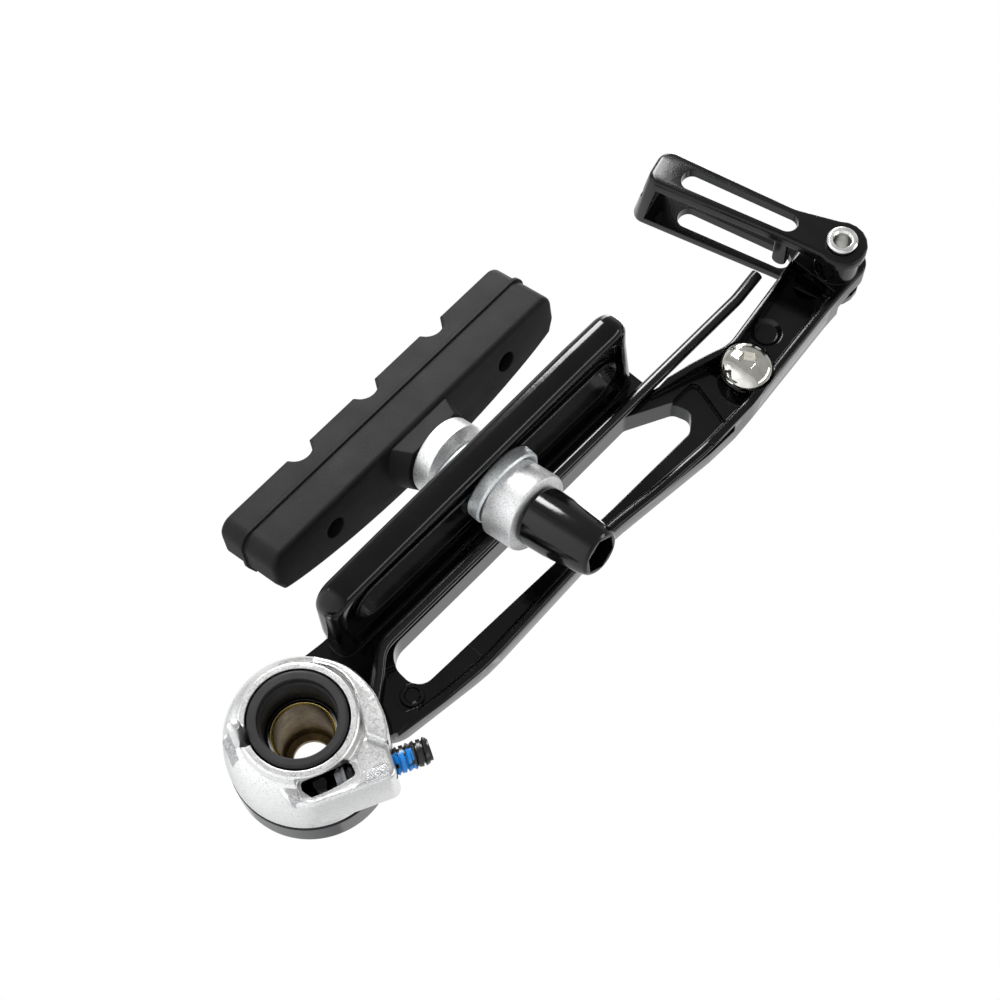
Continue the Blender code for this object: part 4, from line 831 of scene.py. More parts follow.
def make_link():
    """Bent plate that holds the cable guide: two slotted sides, an end wall and a stop tab."""
    place = link_place()
    low = LINK_MIDDLE - LINK_HALF_WIDTH
    high = LINK_MIDDLE + LINK_HALF_WIDTH
    eye = []
    for part in range(0, 13):
        angle = math.radians(62 + 236 * part / 12)
        eye.append((LINK_EYE_RADIUS * math.cos(angle), LINK_EYE_RADIUS * math.sin(angle), 0.0))
    side = [(LINK_LENGTH, low, 0.0018), (LINK_LENGTH, high, 0.0018), (0.0085, high, 0.008), *eye,
            (0.0085, low, 0.006)]
    link = plate("noodle_link", [outline(side)], LINK_BACK_Y - LINK_FRONT_Y,
                 arm_plane(LINK_BACK_Y, LINK_FRONT_Y, place), 0.0006)
    slant_end(link, place)
    room = box("link_room", (-0.006, LINK_FRONT_Y + LINK_PLATE, -0.006),
               (LINK_LENGTH - LINK_PLATE, LINK_BACK_Y - LINK_PLATE, 0.006), place)
    slant_end(room, place)
    slot_near = (LINK_SLOT_NEAR + LINK_SLOT_RADIUS, LINK_MIDDLE)
    slot_far = (LINK_SLOT_FAR - LINK_SLOT_RADIUS, LINK_MIDDLE)
    slot = plate("link_slots", [stadium(slot_near, slot_far, LINK_SLOT_RADIUS)], 0.02,
                 arm_plane(LINK_BACK_Y + 0.003, LINK_FRONT_Y - 0.003, place), 0, CUTTERS)
    eye_hole = rod("link_eye_hole", RIVET_RADIUS + RUN_GAP, -LINK_BACK_Y - 0.001,
                   -LINK_FRONT_Y + 0.001, place @ FRONTWARDS, 56)
    middle_y = (LINK_BACK_Y + LINK_FRONT_Y) / 2
    guide_hole = rod("link_guide_hole", LINK_HOLE_RADIUS, LINK_LENGTH - 0.004, LINK_LENGTH + 0.001,
                     place @ Matrix.Translation((0, middle_y, LINK_MIDDLE)) @ ALONG_X, 24)
    cut(link, room, slot, eye_hole, guide_hole)

    tab_near = 0.0070
    tab_width = 0.0023
    tab_front = -0.0110
    tab_back = LINK_BACK_Y - LINK_PLATE / 2
    tab_corners = [
        (tab_near, -tab_back, 0.0),
        (tab_near + tab_width, -tab_back, 0.0),
        (tab_near + tab_width, -tab_front, 0.0011),
        (tab_near, -tab_front, 0.0011),
    ]
    turned_over = Matrix.Rotation(math.pi, 4, "X")
    flat = place @ Matrix.Translation((0, 0, low + LINK_PLATE / 2)) @ turned_over
    tab = plate("link_tab", [outline(tab_corners)], LINK_PLATE - 0.0002, flat, 0.0003, CUTTERS)
    join(link, tab)
    return link


def make_rivet():
    """Tubular rivet through the link and the arm's tongue."""
    head_back = LINK_BACK_Y + GAP + 0.0007
    head_front = LINK_BACK_Y + GAP
    flare_back = LINK_FRONT_Y - GAP
    flare_front = flare_back - 0.0006
    profile = [
        (RIVET_BORE_RADIUS + 0.0003, head_back),
        (RIVET_HEAD_RADIUS - 0.0003, head_back),
        (RIVET_HEAD_RADIUS, head_back - 0.0003),
        (RIVET_HEAD_RADIUS, head_front),
        (RIVET_RADIUS, head_front),
        (RIVET_RADIUS, flare_back),
        (RIVET_HEAD_RADIUS - 0.0002, flare_back),
        (RIVET_HEAD_RADIUS - 0.0004, flare_front),
        (RIVET_BORE_RADIUS + 0.0003, flare_front),
        (RIVET_BORE_RADIUS, flare_front + 0.0004),
        (RIVET_BORE_RADIUS, head_back - 0.0004),
    ]
    place = Matrix.Translation((RIVET_X, 0, RIVET_Z)) @ AXIS_Y
    return turned("link_rivet", profile, place, 64, closed=True)


def seat_arc(sphere, reach_in, reach_out, steps):
    """Points (radius, height) on a sphere about the origin, from reach_in to reach_out."""
    points = []
    for part in range(steps + 1):
        radius = reach_in + (reach_out - reach_in) * part / steps
        points.append((radius, math.sqrt(sphere * sphere - radius * radius)))
    return points


def seat_along(side):
    """Where the centre of a dome washer's sphere lies along the post; side is -1 at the nut."""
    flat_x = SEAT_X - GAP if side < 0 else WALL_PAD_X + GAP
    centre_x = flat_x + side * SEAT_HEIGHT
    return (centre_x - POST[0]) / POST_PLACE.col[0].x


def facing_wall(side):
    """Turn of a washer whose height points at the wall; side is -1 at the nut, 1 at the pad."""
    return Matrix.Rotation(side * -math.pi / 2, 4, "Y")


def make_cup(name, side):
    """Cup washer: flat on the wall, with a round seat for the dome washer."""
    centre = POST_PLACE @ Vector((seat_along(side), 0, 0))
    ball = SEAT_RADIUS + GAP
    edge = 0.0003
    seat_edge = CUP_RADIUS - edge
    rim = math.sqrt(ball * ball - seat_edge * seat_edge)
    profile = [
        (CUP_HOLE_RADIUS, SEAT_HEIGHT),
        (CUP_RADIUS - edge, SEAT_HEIGHT),
        (CUP_RADIUS, SEAT_HEIGHT - edge),
        (CUP_RADIUS, rim + edge),
        *reversed(seat_arc(ball, CUP_HOLE_RADIUS, seat_edge, 4)),
    ]
    place = Matrix.Translation(centre) @ facing_wall(side)
    return turned(name, profile, place, FINE, closed=True)


def make_dome(name, side, back_along):
    """Dome washer: round towards the wall, flat at its back, on the post's axis."""
    along = seat_along(side)
    back = abs(along) - back_along
    lip = 0.0005
    profile = [
        *seat_arc(SEAT_RADIUS, WASHER_HOLE_RADIUS, WASHER_RADIUS, 6),
        (WASHER_RADIUS, back + lip),
        (WASHER_RADIUS - 0.3 * lip, back + 0.3 * lip),
        (WASHER_RADIUS - lip, back),
        (WASHER_HOLE_RADIUS, back),
    ]
    place = POST_PLACE @ Matrix.Translation((along, 0, 0)) @ facing_wall(side)
    return turned(name, profile, place, FINE, closed=True)


def make_nut():
    """Long tapered nut with a hex socket in its round end."""
    base = -NUT_DOME_BACK - GAP
    tip = base - NUT_LENGTH
    round_end = 0.0010
    profile = [
        (0, base),
        (NUT_BASE_RADIUS - 0.0002, base),
        (NUT_BASE_RADIUS, base - 0.0003),
        (NUT_BASE_RADIUS - 0.0001, base - 0.35 * NUT_LENGTH),
        (NUT_TIP_RADIUS, tip + round_end),
        (NUT_TIP_RADIUS - 0.3 * round_end, tip + 0.3 * round_end),
        (NUT_TIP_RADIUS - 0.7 * round_end, tip),
        (0, tip),
    ]
    nut = turned("pad_nut", profile, POST_PLACE @ ALONG_X, 96)
    thread = rod("nut_thread", STUD_RADIUS + RUN_GAP, tip + NUT_HEX_DEPTH + 0.0004, base + TINY,
                 POST_PLACE @ ALONG_X, 24)
    lead = rod("nut_lead", 0.0022, tip + NUT_HEX_DEPTH - TINY, tip + NUT_HEX_DEPTH + 0.001,
               POST_PLACE @ ALONG_X, 24)
    socket_place = POST_PLACE @ Matrix.Translation((tip, 0, 0)) @ ALONG_X
    cut(nut, thread, lead, hex_socket("nut_socket", NUT_HEX, NUT_HEX_DEPTH, socket_place))
    return nut


def pad_plane(near, far):
    """Frame for an outline across the post: its thickness lies between two places along it."""
    return POST_PLACE @ Matrix.Translation(((near + far) / 2, 0, 0)) @ UPRIGHT_YZ


def pad_outline(grow=0.0):
    """Boat-shaped pad seen along the post: one long side straight, the other bowed."""
    near = PAD_NEAR + grow
    low = PAD_LOW - grow
    high = PAD_HIGH + grow
    end_far = PAD_END_FAR - grow
    middle = (low + high) / 2
    half = (high - low) / 2 - 0.0010
    bow = []
    steps = 28
    for part in range(steps + 1):
        along = -math.cos(math.pi * part / steps)
        across = end_far + (PAD_FAR - grow - end_far) * (1 - along * along) ** 0.85
        bow.append((across, middle + along * half, 0.0))
    corners = [(near, high, 0.0024), (near, low, 0.0024), (end_far + 0.0022, low, 0.001), *bow]
    corners.append((end_far + 0.0022, high, 0.001))
    return outline(corners)


def make_pad():
    """Moulded rubber block with a boss, three notches, two pin holes and room for its insert."""
    back = PAD_DOME_BACK + GAP + PAD_BOSS_HEIGHT
    front = back + PAD_THICKNESS
    ridge_place = back + PAD_RIDGE_PLACE
    pad = plate("pad_rubber", [pad_outline()], front - back, pad_plane(back, front), 0.0008)
    ridge = plate("pad_ridge", [pad_outline(PAD_RIDGE)], 0.0006,
                  pad_plane(ridge_place - 0.0003, ridge_place + 0.0003), 0, CUTTERS)
    boss_top = back - PAD_BOSS_HEIGHT
    boss_profile = [
        (0, back + 0.0010),
        (0.0076, back + 0.0010),
        (0.0070, back - 0.0006),
        (0.0062, boss_top),
        (0, boss_top),
    ]
    boss = turned("pad_boss", boss_profile, POST_PLACE @ ALONG_X, 72, collection=CUTTERS)
    boss_room = box("pad_boss_room", (back - 0.0040, -0.0060, -0.010),
                    (back + 0.0020, PAD_NEAR - 0.0006, 0.010), POST_PLACE)
    boolean(boss, boss_room, "INTERSECT")
    join(pad, ridge, boss)
    cutters = []
    for index, place_z in enumerate(PAD_NOTCH_PLACES):
        across = Matrix.Translation((front + 0.0002, 0, place_z)) @ FRONTWARDS
        cutters.append(rod(f"pad_notch_{index}", PAD_NOTCH_RADIUS, -0.02, 0.02,
                           POST_PLACE @ across, 64))
    insert_low = back + INSERT_DEPTH
    insert_high = insert_low + INSERT_THICKNESS
    room = stadium((0, -INSERT_HALF_LENGTH), (0, INSERT_HALF_LENGTH), INSERT_HALF_WIDTH + GAP, 8)
    cutters.append(plate("pad_insert_room", [room], INSERT_THICKNESS + 2 * GAP,
                         pad_plane(insert_low - GAP, insert_high + GAP), 0, CUTTERS))
    cutters.append(rod("pad_stud_hole", STUD_RADIUS + GAP, boss_top - 0.001, insert_low,
                       POST_PLACE @ ALONG_X, 24))
    for index, place_z in enumerate(PIN_HOLE_PLACES):
        hole_place = POST_PLACE @ Matrix.Translation((0, 0, place_z)) @ ALONG_X
        cutters.append(rod(f"pad_pin_hole_{index}", PIN_HOLE_RADIUS, back - 0.001, insert_low,
                           hole_place, 18))
    cut(pad, *cutters)
    return pad


def crescent(outer, inner):
    """Outline between two rows of polar places (radius in mm, degrees)."""
    rim = [(*polar(radius * 0.001, angle), 0.006) for radius, angle in outer]
    root = [(*polar(radius * 0.001, angle), 0.006) for radius, angle in reversed(inner)]
    for row in (rim, root):
        row[0] = (*row[0][:2], 0.0004)
        row[-1] = (*row[-1][:2], 0.0004)
    return outline(rim + root)


def screw_outline(corners, step=math.radians(6)):
    """Outline in (x, z) from corners counted along the tension screw and aside."""
    return outline([(*beside(along, aside), radius) for along, aside, radius in corners], step)


def finished_housing():
    """The spring housing with its sloping shoulder, crescent rib, pin boss and window frame."""
    bottom = HUB_BACK_Y + GAP
    lip_inner = COLLAR_RADIUS + GAP
    lip_outer = lip_inner + LIP_WIDTH
    roof = HOUSING_FACE_Y - HOUSING_ROOF
    shoulder = [
        (0, HOUSING_LIP_Y),
        (lip_outer - 0.0002, HOUSING_LIP_Y),
        (lip_outer + 0.0001, HOUSING_LIP_Y - 0.0003),
        (lip_outer + 0.0002, -0.0013),
        (lip_outer + 0.0004, -0.0019),
        *SHOULDER,
        (HOUSING_RADIUS, bottom),
        (0, bottom),
    ]
    housing = turned("spring_housing", shoulder, AXIS_Y, FINE)
    lug = plate("housing_lug", [screw_outline(LUG_CORNERS)], LUG_FACE_Y - LUG_FRONT_Y,
                arm_plane(LUG_FACE_Y, LUG_FRONT_Y), 0.0007, CUTTERS, 4)
    rib = plate("housing_rib", [crescent(RIB_OUTER, RIB_INNER)], RIB_BACK_Y - RIB_FRONT_Y,
                arm_plane(RIB_BACK_Y, RIB_FRONT_Y), 0.00035, CUTTERS, 4)
    boss_x, boss_z = polar(*PIN_BOSS_PLACE)
    boss_profile = [
        (0, -0.0020),
        (0.0015, -0.0020),
        (0.0020, -0.0023),
        (0.00225, -0.0029),
        (0.0025, -0.0090),
        (0, -0.0090),
    ]
    boss = turned("housing_pin_boss", boss_profile,
                  Matrix.Translation((boss_x, 0, boss_z)) @ AXIS_Y, 48, collection=CUTTERS)
    join(housing, lug, rib, boss)

    cavity = rod("housing_cavity", HOUSING_RADIUS - HOUSING_WALL, bottom - TINY, CAVITY_STEP_Y,
                 AXIS_Y, FINE)
    upper_cavity = rod("housing_upper_cavity", UPPER_CAVITY_RADIUS, CAVITY_STEP_Y - 0.0010,
                       roof - 0.0004, AXIS_Y, FINE)
    bore = rod("housing_bore", lip_inner, bottom - TINY, HOUSING_LIP_Y + TINY, AXIS_Y, FINE)
    thread = rod("housing_thread", SCREW_RADIUS + RUN_GAP, -0.0028, LUG_END + 0.001,
                 screw_place(), 64)
    rim = plate("housing_frame", [screw_outline(FRAME_CORNERS)], 0.0020,
                arm_plane(LUG_FACE_Y + 0.0016, LUG_FACE_Y - 0.0004), 0.0002, CUTTERS, 3)
    window = plate("housing_window", [screw_outline(WINDOW_CORNERS, math.radians(12))], 0.0060,
                   arm_plane(HOUSING_FACE_Y + 0.0008, HOUSING_FACE_Y - 0.0052), 0, CUTTERS)
    notch_back = LEG_Y + WIRE_RADIUS + 0.0005
    notch = plate("housing_leg_notch", [sector(0.0092, 0.0150, *LEG_NOTCH_ANGLES, 24)],
                  notch_back - bottom + TINY, arm_plane(notch_back, bottom - TINY), 0, CUTTERS)
    pocket_x, pocket_z = polar(*PIN_POCKET_PLACE)
    pocket = rod("housing_pin_pocket", 0.0010, -PIN_TIP_Y, -(roof + 0.0004),
                 Matrix.Translation((pocket_x, 0, pocket_z)) @ FRONTWARDS, 48)
    cut(housing, cavity, upper_cavity, bore, thread, rim, window, notch, pocket)

    pin_profile = [
        (0, PIN_TIP_Y),
        (PIN_RADIUS * 0.65, PIN_TIP_Y - 0.00008),
        (PIN_RADIUS * 0.92, PIN_TIP_Y - 0.00025),
        (PIN_RADIUS, PIN_TIP_Y - 0.0006),
        (PIN_RADIUS + 0.0001, 0.0004),
        (PIN_RADIUS + 0.0003, -0.0006),
        (PIN_RADIUS + 0.0006, -0.0016),
        (PIN_RADIUS + 0.0008, roof + 0.0002),
        (0, roof + 0.0002),
    ]
    pin = turned("housing_pin", pin_profile, Matrix.Translation((PIN_X, 0, PIN_Z)) @ AXIS_Y, 48,
                 collection=CUTTERS)
    join(housing, pin)
    return housing


def finished_arm():
    """The cast arm, with the round bead that runs up its outer edge."""
    arm = make_arm()
    radius = ARM_BEAD_RADIUS
    points = []
    for x, z in ARM_BEAD_PLACES:
        rise = min(max((z - SLOPE_START_Z) / (SLOPE_END_Z - SLOPE_START_Z), 0), 1)
        level = WEB_BACK_Y + (RIM_BACK_Y - WEB_BACK_Y) * rise
        points.append(Vector((x + radius, level - radius, z)))
    path = arc_path(points, [0] + [0.03] * (len(points) - 2) + [0], False, math.radians(2))
    bead = wire("arm_bead", path, radius, CUTTERS)
    join(arm, bead)
    for number, (x, z) in enumerate(EJECTOR_PLACES):
        profile = [
            (0, WEB_BACK_Y + 0.0012),
            (0.0030, WEB_BACK_Y + 0.0012),
            (0.0024, WEB_BACK_Y),
            (0.0017, WEB_BACK_Y - EJECTOR_DEPTH),
            (0, WEB_BACK_Y - EJECTOR_DEPTH),
        ]
        place = Matrix.Translation((x, 0, z)) @ AXIS_Y
        cut(arm, turned(f"arm_ejector_mark_{number}", profile, place, 64, collection=CUTTERS))
    return arm


def finished_bush():
    """Brass bush, with the lip at its front that the arm's bolt is drawn up against."""
    chamfer = 0.0003
    front = BUSH_FRONT_Y
    profile = [
        (BUSH_BORE_RADIUS + chamfer, BUSH_BACK_Y),
        (BUSH_RADIUS, BUSH_BACK_Y),
        (BUSH_RADIUS, front),
        (BUSH_BOLT_ROOM + chamfer, front),
        (BUSH_BOLT_ROOM, front + chamfer),
        (BUSH_BOLT_ROOM, front + BUSH_LIP),
        (BUSH_BORE_RADIUS - 0.0003, front + BUSH_LIP + 0.0001),
        (BUSH_BORE_RADIUS, front + BUSH_LIP + 0.0005),
        (BUSH_BORE_RADIUS, BUSH_BACK_Y - chamfer),
    ]
    return turned("pivot_bush", profile, AXIS_Y, FINE, closed=True)


# Finishes


class Finish:
    """A procedural material on Object coordinates, built node by node."""

    def __init__(self, name):
        self.material = bpy.data.materials.new(name)
        self.material.use_nodes = True
        self.tree = self.material.node_tree
        self.shader = self.tree.nodes["Principled BSDF"]
        self.place = self.node("ShaderNodeTexCoord").outputs["Object"]

    def node(self, kind, **values):
        made = self.tree.nodes.new(kind)
        for name, value in values.items():
            setattr(made, name, value)
        return made

    def join(self, output, target):
        self.tree.links.new(output, target)

    def fixed(self, **values):
        """Plain numbers on the shader's own sockets."""
        for name, value in values.items():
            self.shader.inputs[name.replace("_", " ")].default_value = value
        return self

    def noise(self, per_metre, detail=3.0, rough=0.5, distort=0.0):
        grain = self.node("ShaderNodeTexNoise")
        grain.inputs["Scale"].default_value = per_metre
        grain.inputs["Detail"].default_value = detail
        grain.inputs["Roughness"].default_value = rough
        grain.inputs["Distortion"].default_value = distort
        self.join(self.place, grain.inputs["Vector"])
        return grain.outputs["Fac"]

    def cells(self, per_metre, feature="F1"):
        grain = self.node("ShaderNodeTexVoronoi", feature=feature)
        grain.inputs["Scale"].default_value = per_metre
        self.join(self.place, grain.inputs["Vector"])
        return grain.outputs["Distance"]

    def ramp(self, source, *stops):
        """Stops (place, grey or colour) turn a value into a colour."""
        ramp = self.node("ShaderNodeValToRGB")
        while len(ramp.color_ramp.elements) < len(stops):
            ramp.color_ramp.elements.new(0.5)
        for element, (place, colour) in zip(ramp.color_ramp.elements, stops):
            element.position = place
            if not hasattr(colour, "__len__"):
                colour = (colour, colour, colour)
            element.color = (*colour, 1)
        self.join(source, ramp.inputs["Fac"])
        return ramp.outputs["Color"]

    def maths(self, operation, first, second=0.5, third=0.5):
        made = self.node("ShaderNodeMath", operation=operation)
        for socket, value in zip(made.inputs, (first, second, third)):
            if isinstance(value, (int, float)):
                socket.default_value = value
            else:
                self.join(value, socket)
        return made.outputs[0]

    def mix(self, amount, first, second, kind="MIX"):
        made = self.node("ShaderNodeMix", data_type="RGBA", blend_type=kind)
        for index, value in ((0, amount), (6, first), (7, second)):
            socket = made.inputs[index]
            if isinstance(value, (int, float)):
                socket.default_value = value
            elif isinstance(value, tuple):
                socket.default_value = (*value, 1)
            else:
                self.join(value, socket)
        return made.outputs[2]

    def along(self, direction):
        """Distance along a direction from the part's origin."""
        dot = self.node("ShaderNodeVectorMath", operation="DOT_PRODUCT")
        self.join(self.place, dot.inputs[0])
        dot.inputs[1].default_value = direction
        return dot.outputs["Value"]

    def relief(self, *layers, edge=0.0):
        """Bump layers (height, strength, distance), over edges rounded by the light alone."""
        normal = None
        if edge:
            rounder = self.node("ShaderNodeBevel", samples=6)
            rounder.inputs["Radius"].default_value = edge
            normal = rounder.outputs["Normal"]
        for height, strength, distance in layers:
            bump = self.node("ShaderNodeBump")
            bump.inputs["Strength"].default_value = strength
            bump.inputs["Distance"].default_value = distance
            self.join(height, bump.inputs["Height"])
            if normal is not None:
                self.join(normal, bump.inputs["Normal"])
            normal = bump.outputs["Normal"]
        self.join(normal, self.shader.inputs["Normal"])
        return self

    def colour(self, source):
        self.join(source, self.shader.inputs["Base Color"])
        return self

    def dull(self, source, low, high):
        """Roughness between two values, following a pattern."""
        spread = self.node("ShaderNodeMapRange")
        spread.inputs["To Min"].default_value = low
        spread.inputs["To Max"].default_value = high
        self.join(source, spread.inputs["Value"])
        self.join(spread.outputs["Result"], self.shader.inputs["Roughness"])
        return self


# Rough patches on the housing: middle and half length along the tension screw, the same aside
ROUGH_PATCHES = (
    (0.0075, 0.0016, 0.0100, 0.0008),
    (-0.0037, 0.0007, 0.0096, 0.0007),
    (-0.0098, 0.0008, 0.0002, 0.0017),
)
ROUGH_PATCH_LOW_Y = -0.0046


def gloss_black(name, low, high, specular=0.32, edge=0.00022):
    """Black paint over a casting: deep, glossy, with a faint orange peel and fine dust."""
    finish = Finish(name)
    finish.fixed(Specular_IOR_Level=specular, Metallic=0.0)
    cloud = finish.noise(160, detail=4.0, rough=0.6)
    peel = finish.noise(900, detail=2.0, rough=0.5)
    dust = finish.ramp(finish.noise(5200, detail=2.0, rough=0.6), (0.66, 0.0), (0.74, 1.0))
    tone = finish.ramp(cloud, (0.3, (0.0016, 0.0016, 0.0018)), (0.75, (0.0042, 0.0042, 0.0044)))
    finish.colour(finish.mix(finish.maths("MULTIPLY", dust, 0.25), tone, (0.018, 0.018, 0.019)))
    finish.dull(cloud, low, high)
    grain = finish.noise(3600, detail=2.0, rough=0.5)
    finish.relief((peel, 0.08, 0.00010), (grain, 0.03, 0.00002), edge=edge)
    return finish.material


def cast_aluminium(name):
    """Bright tumbled casting: fine specks, soft dents and three dark rough grey patches at set
    places.
    """
    finish = Finish(name)
    finish.fixed(Metallic=1.0)
    speck = finish.noise(4200, detail=3.0, rough=0.7)
    cloud = finish.noise(420, detail=4.0, rough=0.65)
    dents = finish.cells(1500, "SMOOTH_F1")
    bright = finish.ramp(speck, (0.30, (0.46, 0.47, 0.48)), (0.44, (0.82, 0.82, 0.81)),
                         (0.7, (0.95, 0.95, 0.94)))
    worn = finish.mix(finish.maths("MULTIPLY", cloud, 0.25), bright, (0.62, 0.62, 0.62))
    along = finish.along(tuple(ALONG_SCREW))
    across = finish.along(tuple(BESIDE_SCREW))
    level = finish.along((0, 1, 0))
    marks = None
    for middle, half, aside, half_aside in ROUGH_PATCHES:
        inside = finish.maths("MULTIPLY", finish.maths("COMPARE", along, middle, half),
                              finish.maths("COMPARE", across, aside, half_aside))
        marks = inside if marks is None else finish.maths("MAXIMUM", marks, inside)
    marks = finish.maths("MULTIPLY", marks, finish.maths("GREATER_THAN", level, ROUGH_PATCH_LOW_Y))
    worn_through = finish.ramp(finish.noise(5200, detail=3.0, rough=0.7), (0.30, 0.15), (0.70, 1.0))
    marks = finish.maths("MULTIPLY", marks, worn_through)
    finish.colour(finish.mix(marks, worn, (0.20, 0.20, 0.22)))
    rough = finish.maths("MAXIMUM", finish.maths("MULTIPLY", speck, 0.9), marks)
    finish.dull(rough, 0.20, 0.50)
    finish.relief((dents, 0.16, 0.00012), (speck, 0.22, 0.00005), (marks, 0.5, -0.00010),
                  edge=0.00025)
    return finish.material


def bush_bronze(name):
    """Dull brown bore of a worn brass bush, with a painted golden highlight round its back rim."""
    finish = Finish(name)
    finish.fixed(Metallic=1.0)
    cloud = finish.noise(700, detail=4.0, rough=0.65, distort=0.8)
    streak = finish.noise(2600, detail=3.0, rough=0.7, distort=0.4)
    brown = finish.ramp(cloud, (0.30, (0.13, 0.088, 0.040)), (0.55, (0.24, 0.17, 0.075)),
                        (0.75, (0.33, 0.25, 0.12)))
    brown = finish.mix(finish.maths("MULTIPLY", streak, 0.4), brown, (0.10, 0.07, 0.035))
    # Painted highlight: a thin band at the back is painted bright gold and made glossier
    rim = finish.maths("GREATER_THAN", finish.along((0, 1, 0)), BUSH_BACK_Y - BUSH_PAINTED_HIGHLIGHT)
    finish.colour(finish.mix(rim, brown, (0.92, 0.70, 0.24)))
    finish.dull(finish.maths("SUBTRACT", streak, finish.maths("MULTIPLY", rim, 0.6)), 0.24, 0.60)
    finish.relief((streak, 0.20, 0.00005), edge=0.00008)
    return finish.material


def moulded_rubber(name):
    """Dense dark rubber with a fine grain and fine pale specks."""
    finish = Finish(name)
    finish.fixed(Specular_IOR_Level=0.20)
    grain = finish.noise(5200, detail=3.0, rough=0.65)
    cloud = finish.noise(220, detail=5.0, rough=0.6)
    tone = finish.ramp(cloud, (0.30, (0.0050, 0.0050, 0.0053)), (0.70, (0.0090, 0.0090, 0.0095)))
    speck = finish.ramp(grain, (0.60, 0.0), (0.74, 1.0))
    finish.colour(finish.mix(finish.maths("MULTIPLY", speck, 0.55), tone, (0.045, 0.045, 0.047)))
    finish.dull(cloud, 0.50, 0.74)
    finish.relief((cloud, 0.12, 0.0003), (grain, 0.38, 0.00009), edge=0.00030)
    return finish.material


def zinc_plate(name, tint, low, high):
    """Satin zinc: bright, faintly cool, peppered with fine dark pits."""
    finish = Finish(name)
    finish.fixed(Metallic=1.0)
    pits = finish.noise(4800, detail=3.0, rough=0.75)
    cloud = finish.noise(380, detail=3.0, rough=0.6)
    dark = tuple(0.34 * part for part in tint)
    mild = tuple(0.80 * part for part in tint)
    finish.colour(finish.ramp(pits, (0.30, dark), (0.42, mild), (0.62, tint)))
    finish.dull(finish.maths("MULTIPLY", finish.maths("ADD", pits, cloud), 0.5), low, high)
    finish.relief((pits, 0.20, 0.00005), edge=0.00018)
    return finish.material


def bright_plate(name, tint, low, high, grain_strength=0.06, edge=0.00015):
    """Polished plating with faint clouds and a few fine marks."""
    finish = Finish(name)
    finish.fixed(Metallic=1.0)
    cloud = finish.noise(600, detail=4.0, rough=0.6)
    marks = finish.noise(3000, detail=3.0, rough=0.7, distort=1.2)
    dim = tuple(0.82 * part for part in tint)
    finish.colour(finish.ramp(cloud, (0.35, dim), (0.6, tint)))
    finish.dull(cloud, low, high)
    finish.relief((marks, grain_strength, 0.00004), edge=edge)
    return finish.material


def spring_steel(name):
    """Black drawn wire: half gloss with fine lengthwise scuffs."""
    finish = Finish(name)
    finish.fixed(Metallic=0.0, Specular_IOR_Level=0.45)
    scuff = finish.noise(1500, detail=4.0, rough=0.7, distort=0.6)
    finish.colour(finish.ramp(scuff, (0.35, 0.0025), (0.72, 0.008)))
    finish.dull(scuff, 0.14, 0.28)
    finish.relief((scuff, 0.05, 0.00004))
    return finish.material


def dark_plastic(name):
    """Matte moulded plastic, dark grey."""
    finish = Finish(name)
    finish.fixed(Specular_IOR_Level=0.3)
    grain = finish.noise(3800, detail=3.0, rough=0.6)
    cloud = finish.noise(300, detail=3.0, rough=0.6)
    finish.colour(finish.ramp(cloud, (0.3, (0.016, 0.016, 0.017)), (0.7, (0.026, 0.026, 0.027))))
    finish.dull(grain, 0.42, 0.62)
    finish.relief((grain, 0.16, 0.00005), edge=0.00025)
    return finish.material


PATCH_PLACE = 0.0013            # middle of the blue patch, beyond the lug's end
PATCH_HALF_LENGTH = 0.0014
PATCH_SIDE = 0.0006             # how far the patch reaches past the screw's axis
BARE_TIP = 0.0014               # bare steel at the screw's cup tip


def screw_black(name):
    """Black oxide thread with a bright blue patch near the lug."""
    finish = Finish(name)
    finish.fixed(Metallic=0.0, Specular_IOR_Level=0.5)
    grain = finish.noise(2600, detail=3.0, rough=0.6)
    black = finish.ramp(grain, (0.35, (0.006, 0.006, 0.007)), (0.7, (0.020, 0.020, 0.021)))
    place = finish.along(tuple(ALONG_SCREW))
    low = finish.maths("COMPARE", place, LUG_END + PATCH_PLACE, PATCH_HALF_LENGTH)
    side = finish.maths("LESS_THAN", finish.along(tuple(-BESIDE_SCREW)), PATCH_SIDE - SCREW_OFFSET)
    edge = finish.ramp(finish.noise(900, detail=2.0, rough=0.5), (0.36, 0.0), (0.42, 1.0))
    patch = finish.maths("MULTIPLY", finish.maths("MULTIPLY", low, side), edge)
    bare = finish.maths("LESS_THAN", place, SCREW_START + BARE_TIP)
    black = finish.mix(bare, black, (0.30, 0.30, 0.31))
    finish.colour(finish.mix(patch, black, (0.006, 0.21, 0.62)))
    finish.dull(grain, 0.24, 0.42)
    finish.relief((grain, 0.08, 0.00004), edge=0.00008)
    return finish.material


# Pieces


def plain_mesh(working, name):
    """The working object's evaluated mesh, with its place in its vertices."""
    bpy.context.view_layer.update()
    solved = working.evaluated_get(bpy.context.evaluated_depsgraph_get())
    mesh = bpy.data.meshes.new_from_object(solved)
    mesh.transform(working.matrix_world)
    mesh.name = name
    shell = bmesh.new()
    shell.from_mesh(mesh)
    bmesh.ops.remove_doubles(shell, verts=shell.verts, dist=2e-7)
    bmesh.ops.dissolve_degenerate(shell, edges=shell.edges, dist=2e-7)
    for face in shell.faces:
        face.smooth = True
    for edge in shell.edges:
        if len(edge.link_faces) == 2:
            edge.smooth = edge.calc_face_angle(0) < SMOOTH_ANGLE
    shell.to_mesh(mesh)
    shell.free()
    return mesh


def clear_workshop():
    """Remove the working shapes and their cutters."""
    for collection in (WORKSHOP, CUTTERS):
        for old in list(collection.objects):
            bpy.data.objects.remove(old)


